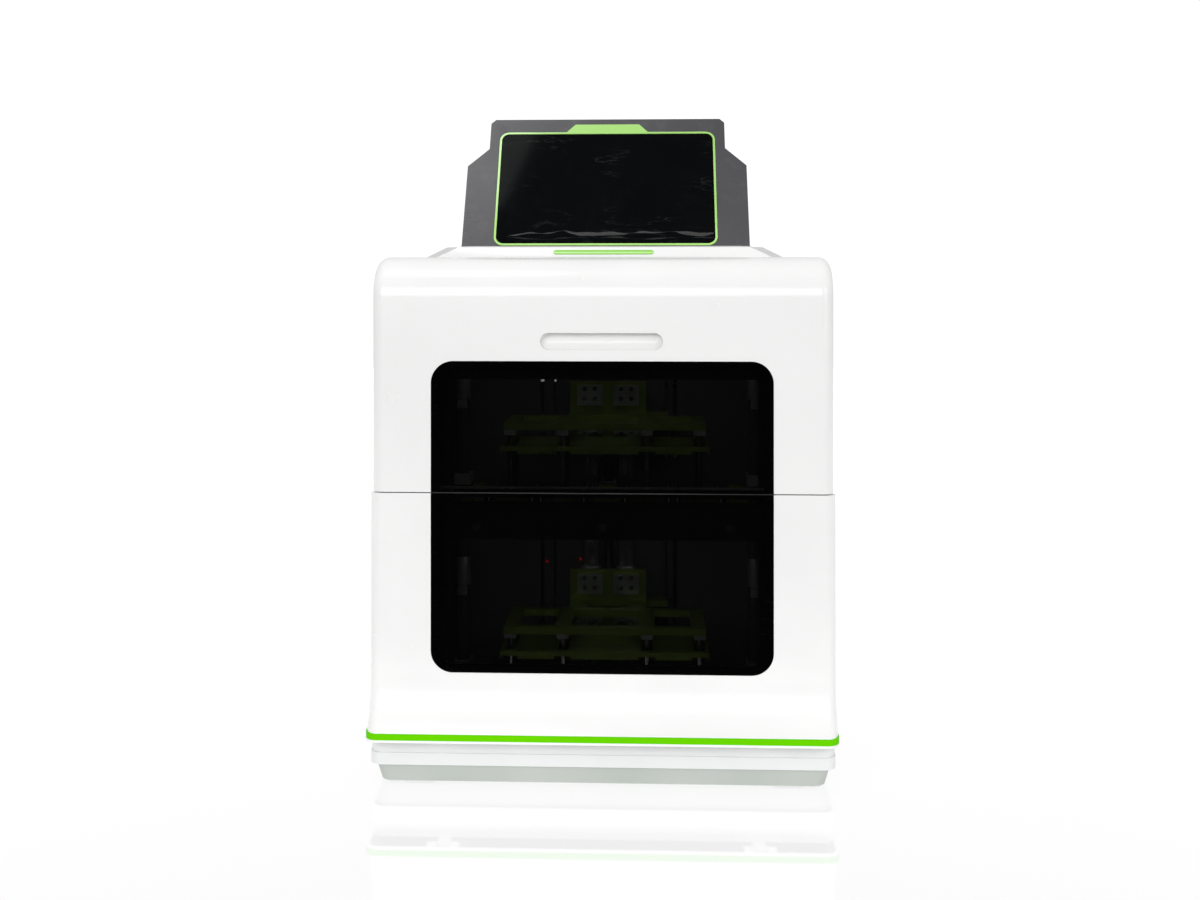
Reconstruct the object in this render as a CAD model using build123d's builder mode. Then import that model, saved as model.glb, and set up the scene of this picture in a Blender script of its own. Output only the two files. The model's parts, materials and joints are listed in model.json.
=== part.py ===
from build123d import *
from math import cos, degrees, radians, sin
import os

os.makedirs("parts", exist_ok=True)

# Bench-top nucleic acid extraction instrument with two magnetic-rod stations.
# Millimetres. X is across, the front faces -Y, +Z is up, the floor is at 0.

# Cabinet
lower_width = 446.8  # base, lower door and lower half of the sides
upper_inset = 2.1  # the upper half stands in by this much on each side
cabinet_depth = 480.0  # door face to rear edge
lip_reach = 22.0  # the flared foot stands out from the door face
roof_height = 507.8  # floor to the flat of the roof
seam_height = 281.6  # floor to the middle of the seam between the doors
seam_gap = 1.0
corner_radius = 12.0  # upright corners and the side edges of the roof
rear_radius = 2.0
roof_round = 39.0  # top front edge of the upper door
shell_wall = 3.0
panel_gap = 0.3  # seam between two fixed panels
door_gap = 1.0  # seam between a door and the panels behind it

# Feet, plinth and base
floor_gap = 2.0  # the plinth hangs this far above the floor
foot_radius = 14.0
foot_inset = 42.0
plinth_height = 18.3
plinth_inset = 4.4
plinth_taper = 4.6
plinth_wall = 4.0
base_height = 28.5
base_setback = 1.0
band_height = 11.5  # lower, prouder band of the base
band_step = 0.8

# Flared foot with its strip
lip_gap = 0.4
lip_edge = 2.3  # white edge below the strip
strip_height = 6.2
strip_proud = 0.2
strip_depth = 1.2
nose_height = 8.6
flare_height = 46.0
return_depth = 30.0  # side walls of the doors
sill_depth = 19.0  # walls of the doors at the seam

# Window, one pane in each door
window_width = 327.0
window_radius = 21.0
window_bottom = 109.6
window_top = 407.6
pane_thickness = 3.0
pane_setback = 0.3
pane_gap = 0.2
pane_ledge = 8.0  # width of the ledge that the pane is bonded to
ledge_thickness = 2.7

# Finger recess above the window
grip_width = 117.0
grip_height = 16.2
grip_bottom = 418.6
grip_depth = 14.0
grip_slope = 6.0  # the floor of the recess rises by this much to the back
grip_undercut = 4.0
cup_wall = 2.0

# Upper door hinge, in a groove across the roof
roof_start = 55.5  # door face to the front edge of the roof cover
groove_width = 11.0
barrel_radius = 4.0
barrel_clear = 2.5
roof_skirt = 15.0
hinge_x = 140.0
pin_radius = 2.0
pin_clearance = 0.05
leaf_width = 30.0
leaf_reach = 10.0
leaf_thickness = 2.0
knuckle_width = 12.0
knuckle_gap = 0.4

# Lower door hinge, inside the flared foot
lower_hinge_x = 150.0
lower_axis_reach = 7.0  # in front of the base
lower_axis_rise = 5.0  # above the base
lug_width = 12.0
door_knuckle_width = 9.0

# Roof plateau, raised pad and light bar
plateau_bottom_width = 361.0
plateau_top_width = 320.0
plateau_height = 10.7
plateau_front_run = 8.5
plateau_depth = 363.0
plateau_radius = 14.0
pad_width = 306.0
pad_depth = 152.0
pad_height = 2.0
pad_taper = 2.0
light_width = 100.0
light_height = 5.2
light_depth = 1.5
light_proud = 0.6
light_gap = 0.2

# Touch screen pod
screen_tilt = 28.4  # degrees back from upright
glass_width = 227.8
glass_height = 137.4
glass_radius = 8.0
glass_front_y = 105.0  # door face to the bottom edge of the glass
glass_thickness = 1.2
bezel_width = 2.2
bezel_thickness = 1.7
bezel_pocket = 1.2
tab_width = 88.0
tab_top_width = 69.0
tab_round = 5.0
tab_height = 12.2
pod_width = 298.0
pod_chin = 3.2  # housing below the glass
pod_shoulder = 96.2  # height along the screen where the shoulders start
pod_top_width = 253.6
pod_top = 156.7
pod_chamfer = 5.0
pod_front_depth = 18.0
pod_top_depth = 20.0
pod_base_depth = 136.0
pod_wall = 3.0
pod_hollow_share = 0.68  # of the rear slope, from its foot

# Inner front frame
frame_setback = 36.0
frame_sheet = 3.0
frame_edge_gap = 3.15
frame_flange = 7.0
frame_top_drop = 3.0  # below the roof skirt
frame_top_reach = 24.0  # depth of the top flange
opening_half = 153.0
opening_radius = 4.0
opening_flange = 14.0
upper_opening_drop = 1.0
upper_opening_rise = 122.0
lower_opening_rise = 6.0
beam_edge = 3.4
beam_screw_x = 124.0
beam_screw_drop = 23.0
screw_head_radius = 4.2
screw_head_height = 2.4
screw_shank_radius = 2.0
screw_length = 9.0

# Tiers: every height below is measured from the plate seat
lower_seat = 57.8
tier_pitch = 208.0
well_pitch = 9.0
rods_per_row = 8
module_pitch = 140.0
plate_length = 127.76
plate_width = 85.48
plate_gap = 0.3
plate_setback = 88.5  # front frame to the middle of the plates

# Shelf, tray rails and tray
shelf_sheet = 4.0
shelf_gap = 0.3
shelf_foot = 2.5
shelf_depth = 136.7
tray_rail_width = 12.0
tray_rail_height = 8.0
tray_rail_length = 300.0
tray_rail_spacing = 60.0
tray_foot_height = 7.0
tray_foot_length = 30.0
tray_foot_x = 108.0
tray_foot_width = 20.0
tray_foot_wrap = 4.0
tray_thickness = 6.0
tray_margin = 3.8  # tray in front of and behind the plates
tray_width = 292.0
tray_slot_width = 34.0
tray_slot_length = 62.0
plate_rest = 7.0  # tray top to the plate seat
locator_x = 138.0
locator_length = 21.0
locator_end = 13.0
locator_depth = 14.0
slide_gap = 0.2

# Heater bars
heater_width = 8.4
heater_base = 4.0
heater_ridge = 2.6
heater_length = 80.0

# Comb and rod frames
comb_rise = 43.0
comb_width = 213.0
comb_thickness = 7.5
comb_depth = 92.0
comb_slot_width = 12.0
comb_slot_length = 76.0
notch_width = 17.0
notch_height = 3.0
rod_plate_rise = 67.0
rod_plate_thickness = 7.0
rod_plate_depth = 84.0
rod_web = 2.0  # plate left beside each holder bar
rod_rail = 10.0  # front and back rails of the rod frame
holder_width = 12.0
holder_height = 6.0
holder_length = 73.0
rod_radius = 2.4
rod_sides = 8
rod_tip_rise = 2.0
arm_width = 20.0
arm_x = 32.0

# Upright slides at the back of the chambers
wall_setback = 193.0  # front frame to the back wall
wall_sheet = 2.0
rail_x = 19.5
rail_width = 15.0
rail_depth = 9.0
rail_waist = 11.0
rail_head = 4.0
rail_foot = 2.5
rail_bottom = 53.8
rail_drop_top = 32.0  # roof to the top of the slide rails
rail_gap = 0.25
carriage_width = 22.0
carriage_height = 26.0
carriage_depth = 22.0  # back wall to the front of a carriage
flange_thickness = 6.0
flange_width = 84.0
comb_flange_drop = 7.0
comb_flange_height = 29.0
rod_flange_height = 41.0
clamp_width = 28.0
clamp_height = 22.0
clamp_depth = 8.0
clamp_x = 20.0
comb_carriage_drop = 5.0
rod_carriage_rise = 13.0

# Lead screws, motors and bearing
lead_radius = 5.0
lead_reach = 14.0  # axis in front of the back wall
lead_clearance = 0.05
lead_seat = 5.0
nut_width = 16.0
nut_depth = 16.0
nut_height = 14.0
nut_rise = 1.0
bearing_height = 12.0
bearing_drop = 16.0  # bearing block bottom below the upper plate seat
bearing_depth = 21.5
motor_width = 42.0
motor_height = 24.0
motor_chamfer = 4.0
upper_motor_drop = 30.0  # roof to the underside of the upper motor
motor_notch = 2.5

# Rod motors and plungers
jack_x = 56.0
jack_width = 20.0
jack_height = 26.0
jack_reach = 17.0  # axis in front of the back wall
plunger_radius = 2.5
plunger_clearance = 0.06
plunger_length = 62.0

# Lamps at the sides of the chambers
lamp_x = 163.0
lamp_reach = 15.0
lamp_radius = 7.75
lamp_length = 136.0
lamp_rise = 72.0
socket_width = 18.0
socket_height = 12.0

# Side liners
liner_x = 190.0
liner_sheet = 2.0

# Back wall slots, two wide and two narrow
slot_places = ((-75.0, 4.0), (-60.5, 2.2), (64.7, 2.2), (74.5, 4.0))
slot_rise = 20.0
slot_length = 120.0

# Rear panel, electronics and fan
rear_recess = 3.0
rear_sheet = 3.0
fan_x = 90.0
fan_drop = 114.0  # roof to the middle of the fan
fan_size = 92.0
fan_depth = 25.0
fan_bore = 44.0
fan_hub = 17.0
fan_hub_depth = 16.0
fan_tip = 42.0
fan_blades = 7
fan_blade_pitch = 35.0
fan_blade_chord = 17.0
fan_blade_thickness = 1.6
fan_shaft = 2.0
fan_clearance = 0.05
fan_stator = 5.0
rotor_gap = 1.5
strut_width = 5.0
grille_slots = 20
grille_inner = 12.0
grille_slot = 3.2
vent_x = -110.0
vent_drop = 114.0
vent_width = 44.0
vent_height = 4.5
vent_pitch_x = 56.0
vent_pitch_z = 11.0
inlet_x = -165.0
inlet_z = 92.0
inlet_width = 30.0
inlet_height = 62.0
inlet_body_width = 27.0
inlet_body_height = 57.0
inlet_flange = 1.6
inlet_body_depth = 27.0
socket_recess_width = 22.5
socket_recess_height = 16.0
socket_recess_depth = 15.0
socket_drop = 15.0
prong_width = 2.0
prong_height = 4.0
prong_length = 12.0
prong_spacing = 6.5
rocker_rise = 13.0
rocker_width = 13.0
rocker_length = 20.0
rocker_gap = 0.5
rocker_tilt = 8.0  # degrees each way from the middle
rocker_axis_depth = 5.2
rocker_face = 4.6
rocker_dish = 1.6
rocker_back = 5.0
rocker_well = 14.0
trunnion_radius = 1.5
trunnion_length = 1.0
trunnion_clearance = 0.05
board_x = 20.0
board_z = 110.0
board_width = 190.0
board_height = 110.0
board_sheet = 1.6
board_standoff = 8.0
board_standoff_width = 6.0
board_chips = ((-50.0, 15.0, 28.0, 28.0), (10.0, 22.0, 20.0, 14.0), (60.0, 10.0, 34.0, 12.0))
board_chip_height = 3.0
port_z = 90.0
port_width = 15.0
port_height = 13.0
port_spacing = 24.0
port_reach = 0.8
port_mouth = 9.0
port_mouth_depth = 8.0
supply_x = 110.0
supply_y = 120.0
supply_width = 98.0
supply_length = 159.0
supply_height = 38.0
supply_slots = 6
supply_slot = 3.0
supply_slot_pitch = 9.0

# Lines that follow from the driving sizes
back_y = (cabinet_depth + lip_reach) / 2
face_y = back_y - cabinet_depth
nose_y = face_y - lip_reach
return_y = face_y + return_depth
side_front_y = return_y + door_gap
base_front_y = face_y + base_setback
lower_half = lower_width / 2
upper_half = lower_half - upper_inset
inner_half = upper_half - shell_wall
base_z = floor_gap + plinth_height
base_floor = base_z + shell_wall
base_top = base_z + base_height
lip_z = base_top + lip_gap
strip_z = lip_z + lip_edge
nose_top = lip_z + nose_height
flare_top = nose_top + flare_height
seam_low = seam_height - seam_gap / 2
seam_high = seam_height + seam_gap / 2
window_height = window_top - window_bottom
window_middle = (window_top + window_bottom) / 2
roof_front_y = face_y + roof_start
door_top_y = roof_front_y - groove_width
upper_axis_y = roof_front_y - barrel_clear - barrel_radius
upper_axis_z = roof_height - barrel_radius
skirt_z = roof_height - roof_skirt
lower_axis_y = base_front_y - lower_axis_reach
lower_axis_z = base_top + lower_axis_rise
hinge_circle = seam_low - lower_axis_z
plateau_top = roof_height + plateau_height
pad_top = plateau_top + pad_height
frame_y = face_y + frame_setback
frame_back_y = frame_y + frame_sheet
frame_half = inner_half - frame_edge_gap
frame_top = skirt_z - frame_top_drop
wall_y = frame_y + wall_setback
plate_y = frame_y + plate_setback
upper_seat = lower_seat + tier_pitch
seats = {"upper": upper_seat, "lower": lower_seat}
rail_top = roof_height - rail_drop_top
upper_motor_z = roof_height - upper_motor_drop
fan_z = roof_height - fan_drop
vent_z = roof_height - vent_drop
row_places = [side * module_pitch / 2 + half * 3 * well_pitch for side in (-1, 1) for half in (-1, 1)]
rod_plate_width = row_places[-1] - row_places[0] + holder_width
tray_drop = plate_rest + tray_thickness
rail_drop = tray_drop + tray_foot_height
shelf_drop = rail_drop + tray_rail_height
rear_y = back_y - rear_recess


def at_height(z):
    """Level plane seen from above."""
    return Plane.XY.offset(z)


def at_depth(y):
    """Upright plane seen from the front. Extruding towards the front is positive."""
    return Plane(origin=(0, y, 0), x_dir=(1, 0, 0), z_dir=(0, -1, 0))


def side_on(x):
    """Upright plane seen from the right, with Y across. Extruding goes to +X."""
    return Plane.YZ.offset(x)


def across(y, z, x=0.0):
    """Plane square to the X axis, for cylinders that run across the machine."""
    return Plane(origin=(x, y, z), x_dir=(0, 1, 0), z_dir=(1, 0, 0))


def along_y(x, y, z):
    """Plane square to the Y axis, for cylinders that run from front to back."""
    return Plane(origin=(x, y, z), x_dir=(1, 0, 0), z_dir=(0, -1, 0))


# Plinth: a tapered skirt under the base
def base_plan(z, inset):
    depth = back_y - base_front_y
    with BuildSketch(at_height(z)) as plan:
        with Locations((0, (back_y + base_front_y) / 2)):
            Rectangle(lower_width - 2 * inset, depth - 2 * inset)
        corners = plan.vertices().group_by(Axis.Y)
        fillet(corners[0], radius=corner_radius)
        fillet(plan.vertices().group_by(Axis.Y)[-1], radius=rear_radius)
    return plan.sketch


with BuildPart() as plinth:
    loft(sections=[base_plan(floor_gap, plinth_inset + plinth_taper), base_plan(base_z, plinth_inset)])
    plinth_hollow = base_plan(floor_gap, plinth_inset + plinth_taper + plinth_wall)
    extrude(to_extrude=plinth_hollow, amount=plinth_height - plinth_wall, mode=Mode.SUBTRACT)
plinth.part.label = "plinth"
export_step(plinth.part, "parts/plinth.step")

# Rubber feet, seated in the hollow of the plinth
with BuildPart() as rubber_feet:
    with BuildSketch(at_height(0)):
        with Locations((0, (back_y + base_front_y) / 2)):
            with GridLocations(lower_width - 2 * foot_inset, back_y - base_front_y - 2 * foot_inset, 2, 2):
                Circle(foot_radius)
    extrude(amount=base_z - plinth_wall)
rubber_feet.part.label = "rubber_feet"
export_step(rubber_feet.part, "parts/rubber_feet.step")

# Base tray with its two bands, the sill in front of the frame and the lower hinge lugs
with BuildPart() as base_tray:
    extrude(to_extrude=base_plan(base_z, 0), amount=band_height)
    extrude(to_extrude=base_plan(base_z + band_height, band_step), amount=base_height - band_height)
    pan_front = frame_y - panel_gap
    pan_back = back_y - shell_wall
    with BuildSketch(at_height(base_floor)):
        with Locations((0, (pan_front + pan_back) / 2)):
            Rectangle(2 * (lower_half - band_step - shell_wall), pan_back - pan_front)
    extrude(amount=base_height, mode=Mode.SUBTRACT)
    sill_front = base_front_y + band_step + shell_wall
    sill_back = pan_front - shell_wall
    with BuildSketch(at_height(base_z)) as sill:
        with Locations((0, (sill_front + sill_back) / 2)):
            Rectangle(2 * (lower_half - band_step - shell_wall), sill_back - sill_front)
        fillet(sill.vertices().group_by(Axis.Y)[0], radius=corner_radius - shell_wall)
    extrude(amount=base_height - shell_wall, mode=Mode.SUBTRACT)
    for x in (-lower_hinge_x, lower_hinge_x):
        with BuildSketch(side_on(x - lug_width / 2)):
            with Locations((lower_axis_y, lower_axis_z)):
                Circle(barrel_radius)
            with BuildLine():
                Polyline(
                    (lower_axis_y, lower_axis_z + barrel_radius),
                    (base_front_y + shell_wall + barrel_radius, base_top + lower_axis_rise),
                    (base_front_y + shell_wall + barrel_radius, base_top),
                    (base_front_y + band_step, base_top),
                    (lower_axis_y, lower_axis_z - barrel_radius),
                    close=True,
                )
            make_face()
            with Locations((lower_axis_y, lower_axis_z)):
                Circle(pin_radius + pin_clearance, mode=Mode.SUBTRACT)
        extrude(amount=lug_width)
base_tray.part.label = "base_tray"
export_step(base_tray.part, "parts/base_tray.step")


# Side panels, with the seam carried on as a groove and a groove for the strip
def side_panel(side):
    top = skirt_z - panel_gap
    groove = upper_half - strip_depth
    with BuildPart() as panel:
        with BuildSketch(at_depth(side_front_y)):
            with BuildLine():
                Polyline(
                    (side * inner_half, base_top),
                    (side * lower_half, base_top),
                    (side * lower_half, strip_z),
                    (side * (lower_half - strip_depth), strip_z),
                    (side * (lower_half - strip_depth), strip_z + strip_height),
                    (side * lower_half, strip_z + strip_height),
                    (side * lower_half, seam_low),
                    (side * groove, seam_low),
                    (side * groove, seam_high),
                    (side * upper_half, seam_high),
                    (side * upper_half, top),
                    (side * inner_half, top),
                    close=True,
                )
            make_face()
        extrude(amount=side_front_y - back_y)
    return panel


side_panel_left = side_panel(-1)
side_panel_left.part.label = "side_panel_left"
export_step(side_panel_left.part, "parts/side_panel_left.step")
side_panel_right = side_panel(1)
side_panel_right.part.label = "side_panel_right"
export_step(side_panel_right.part, "parts/side_panel_right.step")

# Green strips along the sides
with BuildPart() as side_strips:
    strip_width = strip_depth + strip_proud
    strip_length = back_y - side_front_y
    with BuildSketch(at_height(strip_z)):
        for side in (-1, 1):
            strip_x = side * (lower_half + strip_proud - strip_width / 2)
            with Locations((strip_x, side_front_y + strip_length / 2)):
                Rectangle(strip_width, strip_length)
    extrude(amount=strip_height)
side_strips.part.label = "side_strips"
export_step(side_strips.part, "parts/side_strips.step")

# Roof cover with the plateau, the raised pad and the recess for the light bar
plateau_mid_y = roof_front_y + plateau_depth / 2
light_plane = Plane(
    origin=(0, roof_front_y + plateau_front_run / 2, roof_height + plateau_height / 2),
    x_dir=(1, 0, 0),
    z_dir=(0, -plateau_height, plateau_front_run),
)


def rounded_plan(z, middle_y, width, depth, inset):
    with BuildSketch(at_height(z)) as plan:
        with Locations((0, middle_y)):
            RectangleRounded(width - 2 * inset, depth - 2 * inset, plateau_radius)
    return plan.sketch


with BuildPart() as roof_cover:
    with BuildSketch(at_depth(roof_front_y)) as roof_end:
        with Locations((0, (skirt_z + roof_height) / 2)):
            Rectangle(2 * upper_half, roof_skirt)
        fillet(roof_end.vertices().group_by(Axis.Y)[-1], radius=corner_radius)
    extrude(amount=roof_front_y - back_y)
    plateau_top_depth = plateau_depth - 2 * plateau_front_run
    loft(
        sections=[
            rounded_plan(roof_height, plateau_mid_y, plateau_bottom_width, plateau_depth, 0),
            rounded_plan(plateau_top, plateau_mid_y, plateau_top_width, plateau_top_depth, 0),
        ]
    )
    pod_mid_y = face_y + glass_front_y - pod_chin + pod_base_depth / 2
    loft(
        sections=[
            rounded_plan(plateau_top, pod_mid_y, pad_width, pad_depth, 0),
            rounded_plan(pad_top, pod_mid_y, pad_width, pad_depth, pad_taper),
        ]
    )
    with BuildSketch(at_depth(roof_front_y + shell_wall)) as roof_hollow:
        with Locations((0, (skirt_z + roof_height - shell_wall) / 2)):
            Rectangle(2 * inner_half, roof_skirt - shell_wall)
        fillet(roof_hollow.vertices().group_by(Axis.Y)[-1], radius=corner_radius - shell_wall)
    extrude(amount=roof_front_y - back_y, mode=Mode.SUBTRACT)
    hollow_z = plateau_top - shell_wall
    loft(
        sections=[
            rounded_plan(
                roof_height - shell_wall, plateau_mid_y, plateau_bottom_width, plateau_depth, 2 * shell_wall
            ),
            rounded_plan(hollow_z, plateau_mid_y, plateau_top_width, plateau_top_depth, shell_wall),
        ],
        mode=Mode.SUBTRACT,
    )
    with BuildSketch(light_plane):
        SlotOverall(light_width + 2 * light_gap, light_height + 2 * light_gap)
    extrude(amount=-light_depth, mode=Mode.SUBTRACT)
roof_cover.part.label = "roof_cover"
export_step(roof_cover.part, "parts/roof_cover.step")

# Light bar in the front slope of the plateau
with BuildPart() as light_bar:
    with BuildSketch(light_plane.offset(-light_depth)):
        SlotOverall(light_width, light_height)
    extrude(amount=light_depth + light_proud)
light_bar.part.label = "light_bar"
export_step(light_bar.part, "parts/light_bar.step")

# Touch screen pod. Its front plane leans back; heights along it start at the glass.
tilt_sin = sin(radians(screen_tilt))
tilt_cos = cos(radians(screen_tilt))
glass_y = face_y + glass_front_y
glass_z = pad_top + pod_chin * tilt_cos
screen_plane = Plane(origin=(0, glass_y, glass_z), x_dir=(1, 0, 0), z_dir=(0, -tilt_cos, tilt_sin))


def on_screen(height, depth):
    """Y and Z of a point at a height along the screen and a depth behind it."""
    return (glass_y + height * tilt_sin + depth * tilt_cos, glass_z + height * tilt_cos - depth * tilt_sin)


def pod_body():
    """The whole pod as one solid: the front outline, cut to the wedge of its side view."""
    shoulder = pod_shoulder + (pod_width - pod_top_width) / 2
    outline = [
        (pod_width / 2, -pod_chin * 2),
        (pod_width / 2, pod_shoulder),
        (pod_top_width / 2, shoulder),
        (pod_top_width / 2, pod_top - pod_chamfer),
        (pod_top_width / 2 - pod_chamfer, pod_top),
    ]
    mirrored = [(-x, y) for x, y in reversed(outline)]
    foot_y = on_screen(-pod_chin, 0)[0]
    with BuildPart() as body:
        with BuildSketch(screen_plane):
            with BuildLine():
                Polyline(*outline, *mirrored, close=True)
            make_face()
        extrude(amount=-2 * pod_base_depth)
        with BuildSketch(side_on(-pod_width)):
            with BuildLine():
                Polyline(
                    (foot_y, pad_top),
                    on_screen(pod_top, 0),
                    on_screen(pod_top, pod_top_depth),
                    (foot_y + pod_base_depth, pad_top),
                    close=True,
                )
            make_face()
        extrude(amount=2 * pod_width, mode=Mode.INTERSECT)
    return body.part


def bezel_outline(plane, grow):
    """Screen frame outline with its tab, grown outwards by a margin."""
    top = glass_height + bezel_width
    with BuildSketch(plane) as outline:
        with Locations((0, glass_height / 2)):
            RectangleRounded(
                glass_width + 2 * (bezel_width + grow),
                glass_height + 2 * (bezel_width + grow),
                glass_radius + bezel_width + grow,
            )
        with BuildLine():
            Polyline(
                (-tab_width / 2 - grow, top - bezel_width),
                (-tab_width / 2 - grow, top),
                (-tab_top_width / 2 - grow, glass_height + tab_height + grow),
                (tab_top_width / 2 + grow, glass_height + tab_height + grow),
                (tab_width / 2 + grow, top),
                (tab_width / 2 + grow, top - bezel_width),
                close=True,
            )
        make_face()
        tab_corners = outline.vertices().filter_by(
            lambda corner: abs(corner.X) < tab_width / 2 + tab_round and corner.Z > plane.origin.Z + top / 2
        )
        fillet(tab_corners, radius=tab_round)
    return outline.sketch


split_plane = screen_plane.offset(-pod_front_depth)

with BuildPart() as screen_housing:
    add(pod_body())
    split(bisect_by=split_plane, keep=Keep.TOP)
    extrude(to_extrude=bezel_outline(screen_plane, light_gap), amount=-bezel_pocket, mode=Mode.SUBTRACT)
    with BuildSketch(split_plane):
        with Locations((0, glass_height / 2)):
            Rectangle(glass_width, glass_height)
    extrude(amount=pod_front_depth - bezel_pocket - pod_wall, mode=Mode.SUBTRACT)
screen_housing.part.label = "screen_housing"
export_step(screen_housing.part, "parts/screen_housing.step")

with BuildPart() as screen_back:
    add(pod_body())
    split(bisect_by=split_plane.offset(-panel_gap), keep=Keep.BOTTOM)
    hollow_depth = pod_front_depth + 2 * pod_wall
    rear_wall = 4 * pod_wall
    rear_foot_y = on_screen(-pod_chin, 0)[0] + pod_base_depth
    rear_top_y, rear_top_z = on_screen(pod_top, pod_top_depth)
    hollow_rear_y = rear_foot_y - rear_wall + (rear_top_y - rear_foot_y) * pod_hollow_share
    hollow_rear_z = pad_top + (rear_top_z - pad_top) * pod_hollow_share
    with BuildSketch(side_on(-glass_width / 2)):
        with BuildLine():
            Polyline(
                on_screen(0, hollow_depth),
                on_screen(glass_height - hollow_depth, hollow_depth),
                (hollow_rear_y, hollow_rear_z),
                (rear_foot_y - rear_wall, pad_top),
                close=True,
            )
        make_face()
    extrude(amount=glass_width, mode=Mode.SUBTRACT)
screen_back.part.label = "screen_back"
export_step(screen_back.part, "parts/screen_back.step")

with BuildPart() as screen_frame:
    extrude(to_extrude=bezel_outline(screen_plane.offset(-bezel_pocket), 0), amount=bezel_thickness)
    with BuildSketch(screen_plane.offset(-bezel_pocket)):
        with Locations((0, glass_height / 2)):
            RectangleRounded(glass_width, glass_height, glass_radius)
    extrude(amount=bezel_thickness, mode=Mode.SUBTRACT)
screen_frame.part.label = "screen_frame"
export_step(screen_frame.part, "parts/screen_frame.step")

with BuildPart() as screen_glass:
    with BuildSketch(screen_plane.offset(-bezel_pocket)):
        with Locations((0, glass_height / 2)):
            RectangleRounded(
                glass_width - 2 * light_gap, glass_height - 2 * light_gap, glass_radius - light_gap
            )
    extrude(amount=glass_thickness)
screen_glass.part.label = "screen_glass"
export_step(screen_glass.part, "parts/screen_glass.step")


# Window outlines, shared by the panes and the pockets they sit in
def window_outline(y, low, high, grow):
    with BuildSketch(at_depth(y)) as outline:
        with Locations((0, window_middle)):
            RectangleRounded(window_width + 2 * grow, window_height + 2 * grow, window_radius + grow)
        with Locations((0, (low + high) / 2)):
            Rectangle(window_width + 4 * pane_ledge, high - low, mode=Mode.INTERSECT)
    return outline.sketch


pane_front_y = face_y + pane_setback
inner_face_y = face_y + shell_wall

# Upper door: a moulded shell with a rounded top edge
with BuildPart() as upper_door_shell:
    with BuildSketch(side_on(-upper_half)):
        with BuildLine():
            Line((face_y, seam_high), (face_y, roof_height - roof_round))
            RadiusArc((face_y, roof_height - roof_round), (face_y + roof_round, roof_height), roof_round)
            Polyline(
                (face_y + roof_round, roof_height),
                (door_top_y, roof_height),
                (door_top_y, skirt_z),
                (return_y, skirt_z),
                (return_y, seam_high),
                (face_y, seam_high),
            )
        make_face()
    extrude(amount=2 * upper_half)
    corner_edges = (
        upper_door_shell.faces().filter_by(Axis.X).edges().filter_by(
            lambda edge: edge.center().Y < face_y + 1 or edge.center().Z > roof_height - roof_round
        )
    )
    corner_edges = corner_edges.filter_by(lambda edge: edge.center().Y < door_top_y - 1)
    corner_edges = corner_edges.filter_by(lambda edge: edge.center().Z > seam_high + 1)
    corner_edges = corner_edges.filter_by(lambda edge: abs(edge.center().Z - skirt_z) > 1)
    fillet(corner_edges, radius=corner_radius)
    rear_faces = upper_door_shell.faces().filter_by(
        lambda face: face.center().Y > door_top_y - 1 or abs(face.center().Y - return_y) < 1
        or (abs(face.center().Z - skirt_z) < 1 and face.center().Y > return_y)
    )
    offset(amount=-shell_wall, openings=rear_faces)
    # ledge behind the pane
    ledge = window_outline(inner_face_y, seam_high, window_top + 2 * pane_ledge, pane_ledge * 0.75)
    extrude(to_extrude=ledge, amount=-(ledge_thickness + pane_setback))
    pocket = window_outline(face_y, seam_high - 1, window_top + 2 * pane_ledge, pane_gap)
    extrude(to_extrude=pocket, amount=-(pane_setback + pane_thickness), mode=Mode.SUBTRACT)
    view = window_outline(face_y, seam_high + shell_wall, window_top + 2 * pane_ledge, -pane_ledge)
    extrude(to_extrude=view, amount=-2 * (pane_thickness + ledge_thickness), mode=Mode.SUBTRACT)
    sill_room = 2 * (return_depth - sill_depth)
    with Locations((0, return_y, seam_high)):
        Box(2 * (upper_half - shell_wall), sill_room, 4 * shell_wall, mode=Mode.SUBTRACT)
    # hole of the finger recess
    with BuildSketch(at_depth(face_y)):
        with Locations((0, grip_bottom + grip_height / 2)):
            SlotOverall(grip_width, grip_height)
    extrude(amount=-2 * shell_wall, mode=Mode.SUBTRACT)
upper_door_shell.part.label = "upper_door_shell"
export_step(upper_door_shell.part, "parts/upper_door_shell.step")

with BuildPart() as upper_window:
    extrude(to_extrude=window_outline(pane_front_y, seam_high, window_top, 0), amount=-pane_thickness)
upper_window.part.label = "upper_window"
export_step(upper_window.part, "parts/upper_window.step")

# Cup behind the finger recess, with a sloping floor and an undercut top
with BuildPart() as handle_cup:
    grip_middle = grip_bottom + grip_height / 2
    with BuildSketch(at_depth(inner_face_y)):
        with Locations((0, grip_middle)):
            SlotOverall(grip_width + 4 * cup_wall, grip_height + 4 * cup_wall)
    extrude(amount=-cup_wall)
    with BuildSketch(at_depth(inner_face_y)):
        with Locations((0, grip_middle + grip_undercut / 2)):
            SlotOverall(grip_width + 2 * cup_wall, grip_height + 2 * cup_wall + grip_undercut)
    extrude(amount=-(grip_depth + cup_wall))
    with BuildSketch(side_on(-(grip_width - grip_height) / 2)):
        with BuildLine():
            Polyline(
                (inner_face_y, grip_bottom),
                (inner_face_y, grip_bottom + grip_height),
                (inner_face_y + 2 * cup_wall, grip_bottom + grip_height + grip_undercut),
                (inner_face_y + grip_depth, grip_bottom + grip_height + grip_undercut),
                (inner_face_y + grip_depth, grip_bottom + grip_slope),
                close=True,
            )
        make_face()
    extrude(amount=grip_width - grip_height, mode=Mode.SUBTRACT)
    for side in (-1, 1):
        with BuildSketch(at_depth(inner_face_y)):
            with Locations((side * (grip_width - grip_height) / 2, grip_middle)):
                Circle(grip_height / 2)
        extrude(amount=-grip_depth / 2, mode=Mode.SUBTRACT)
handle_cup.part.label = "handle_cup"
export_step(handle_cup.part, "parts/handle_cup.step")

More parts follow.
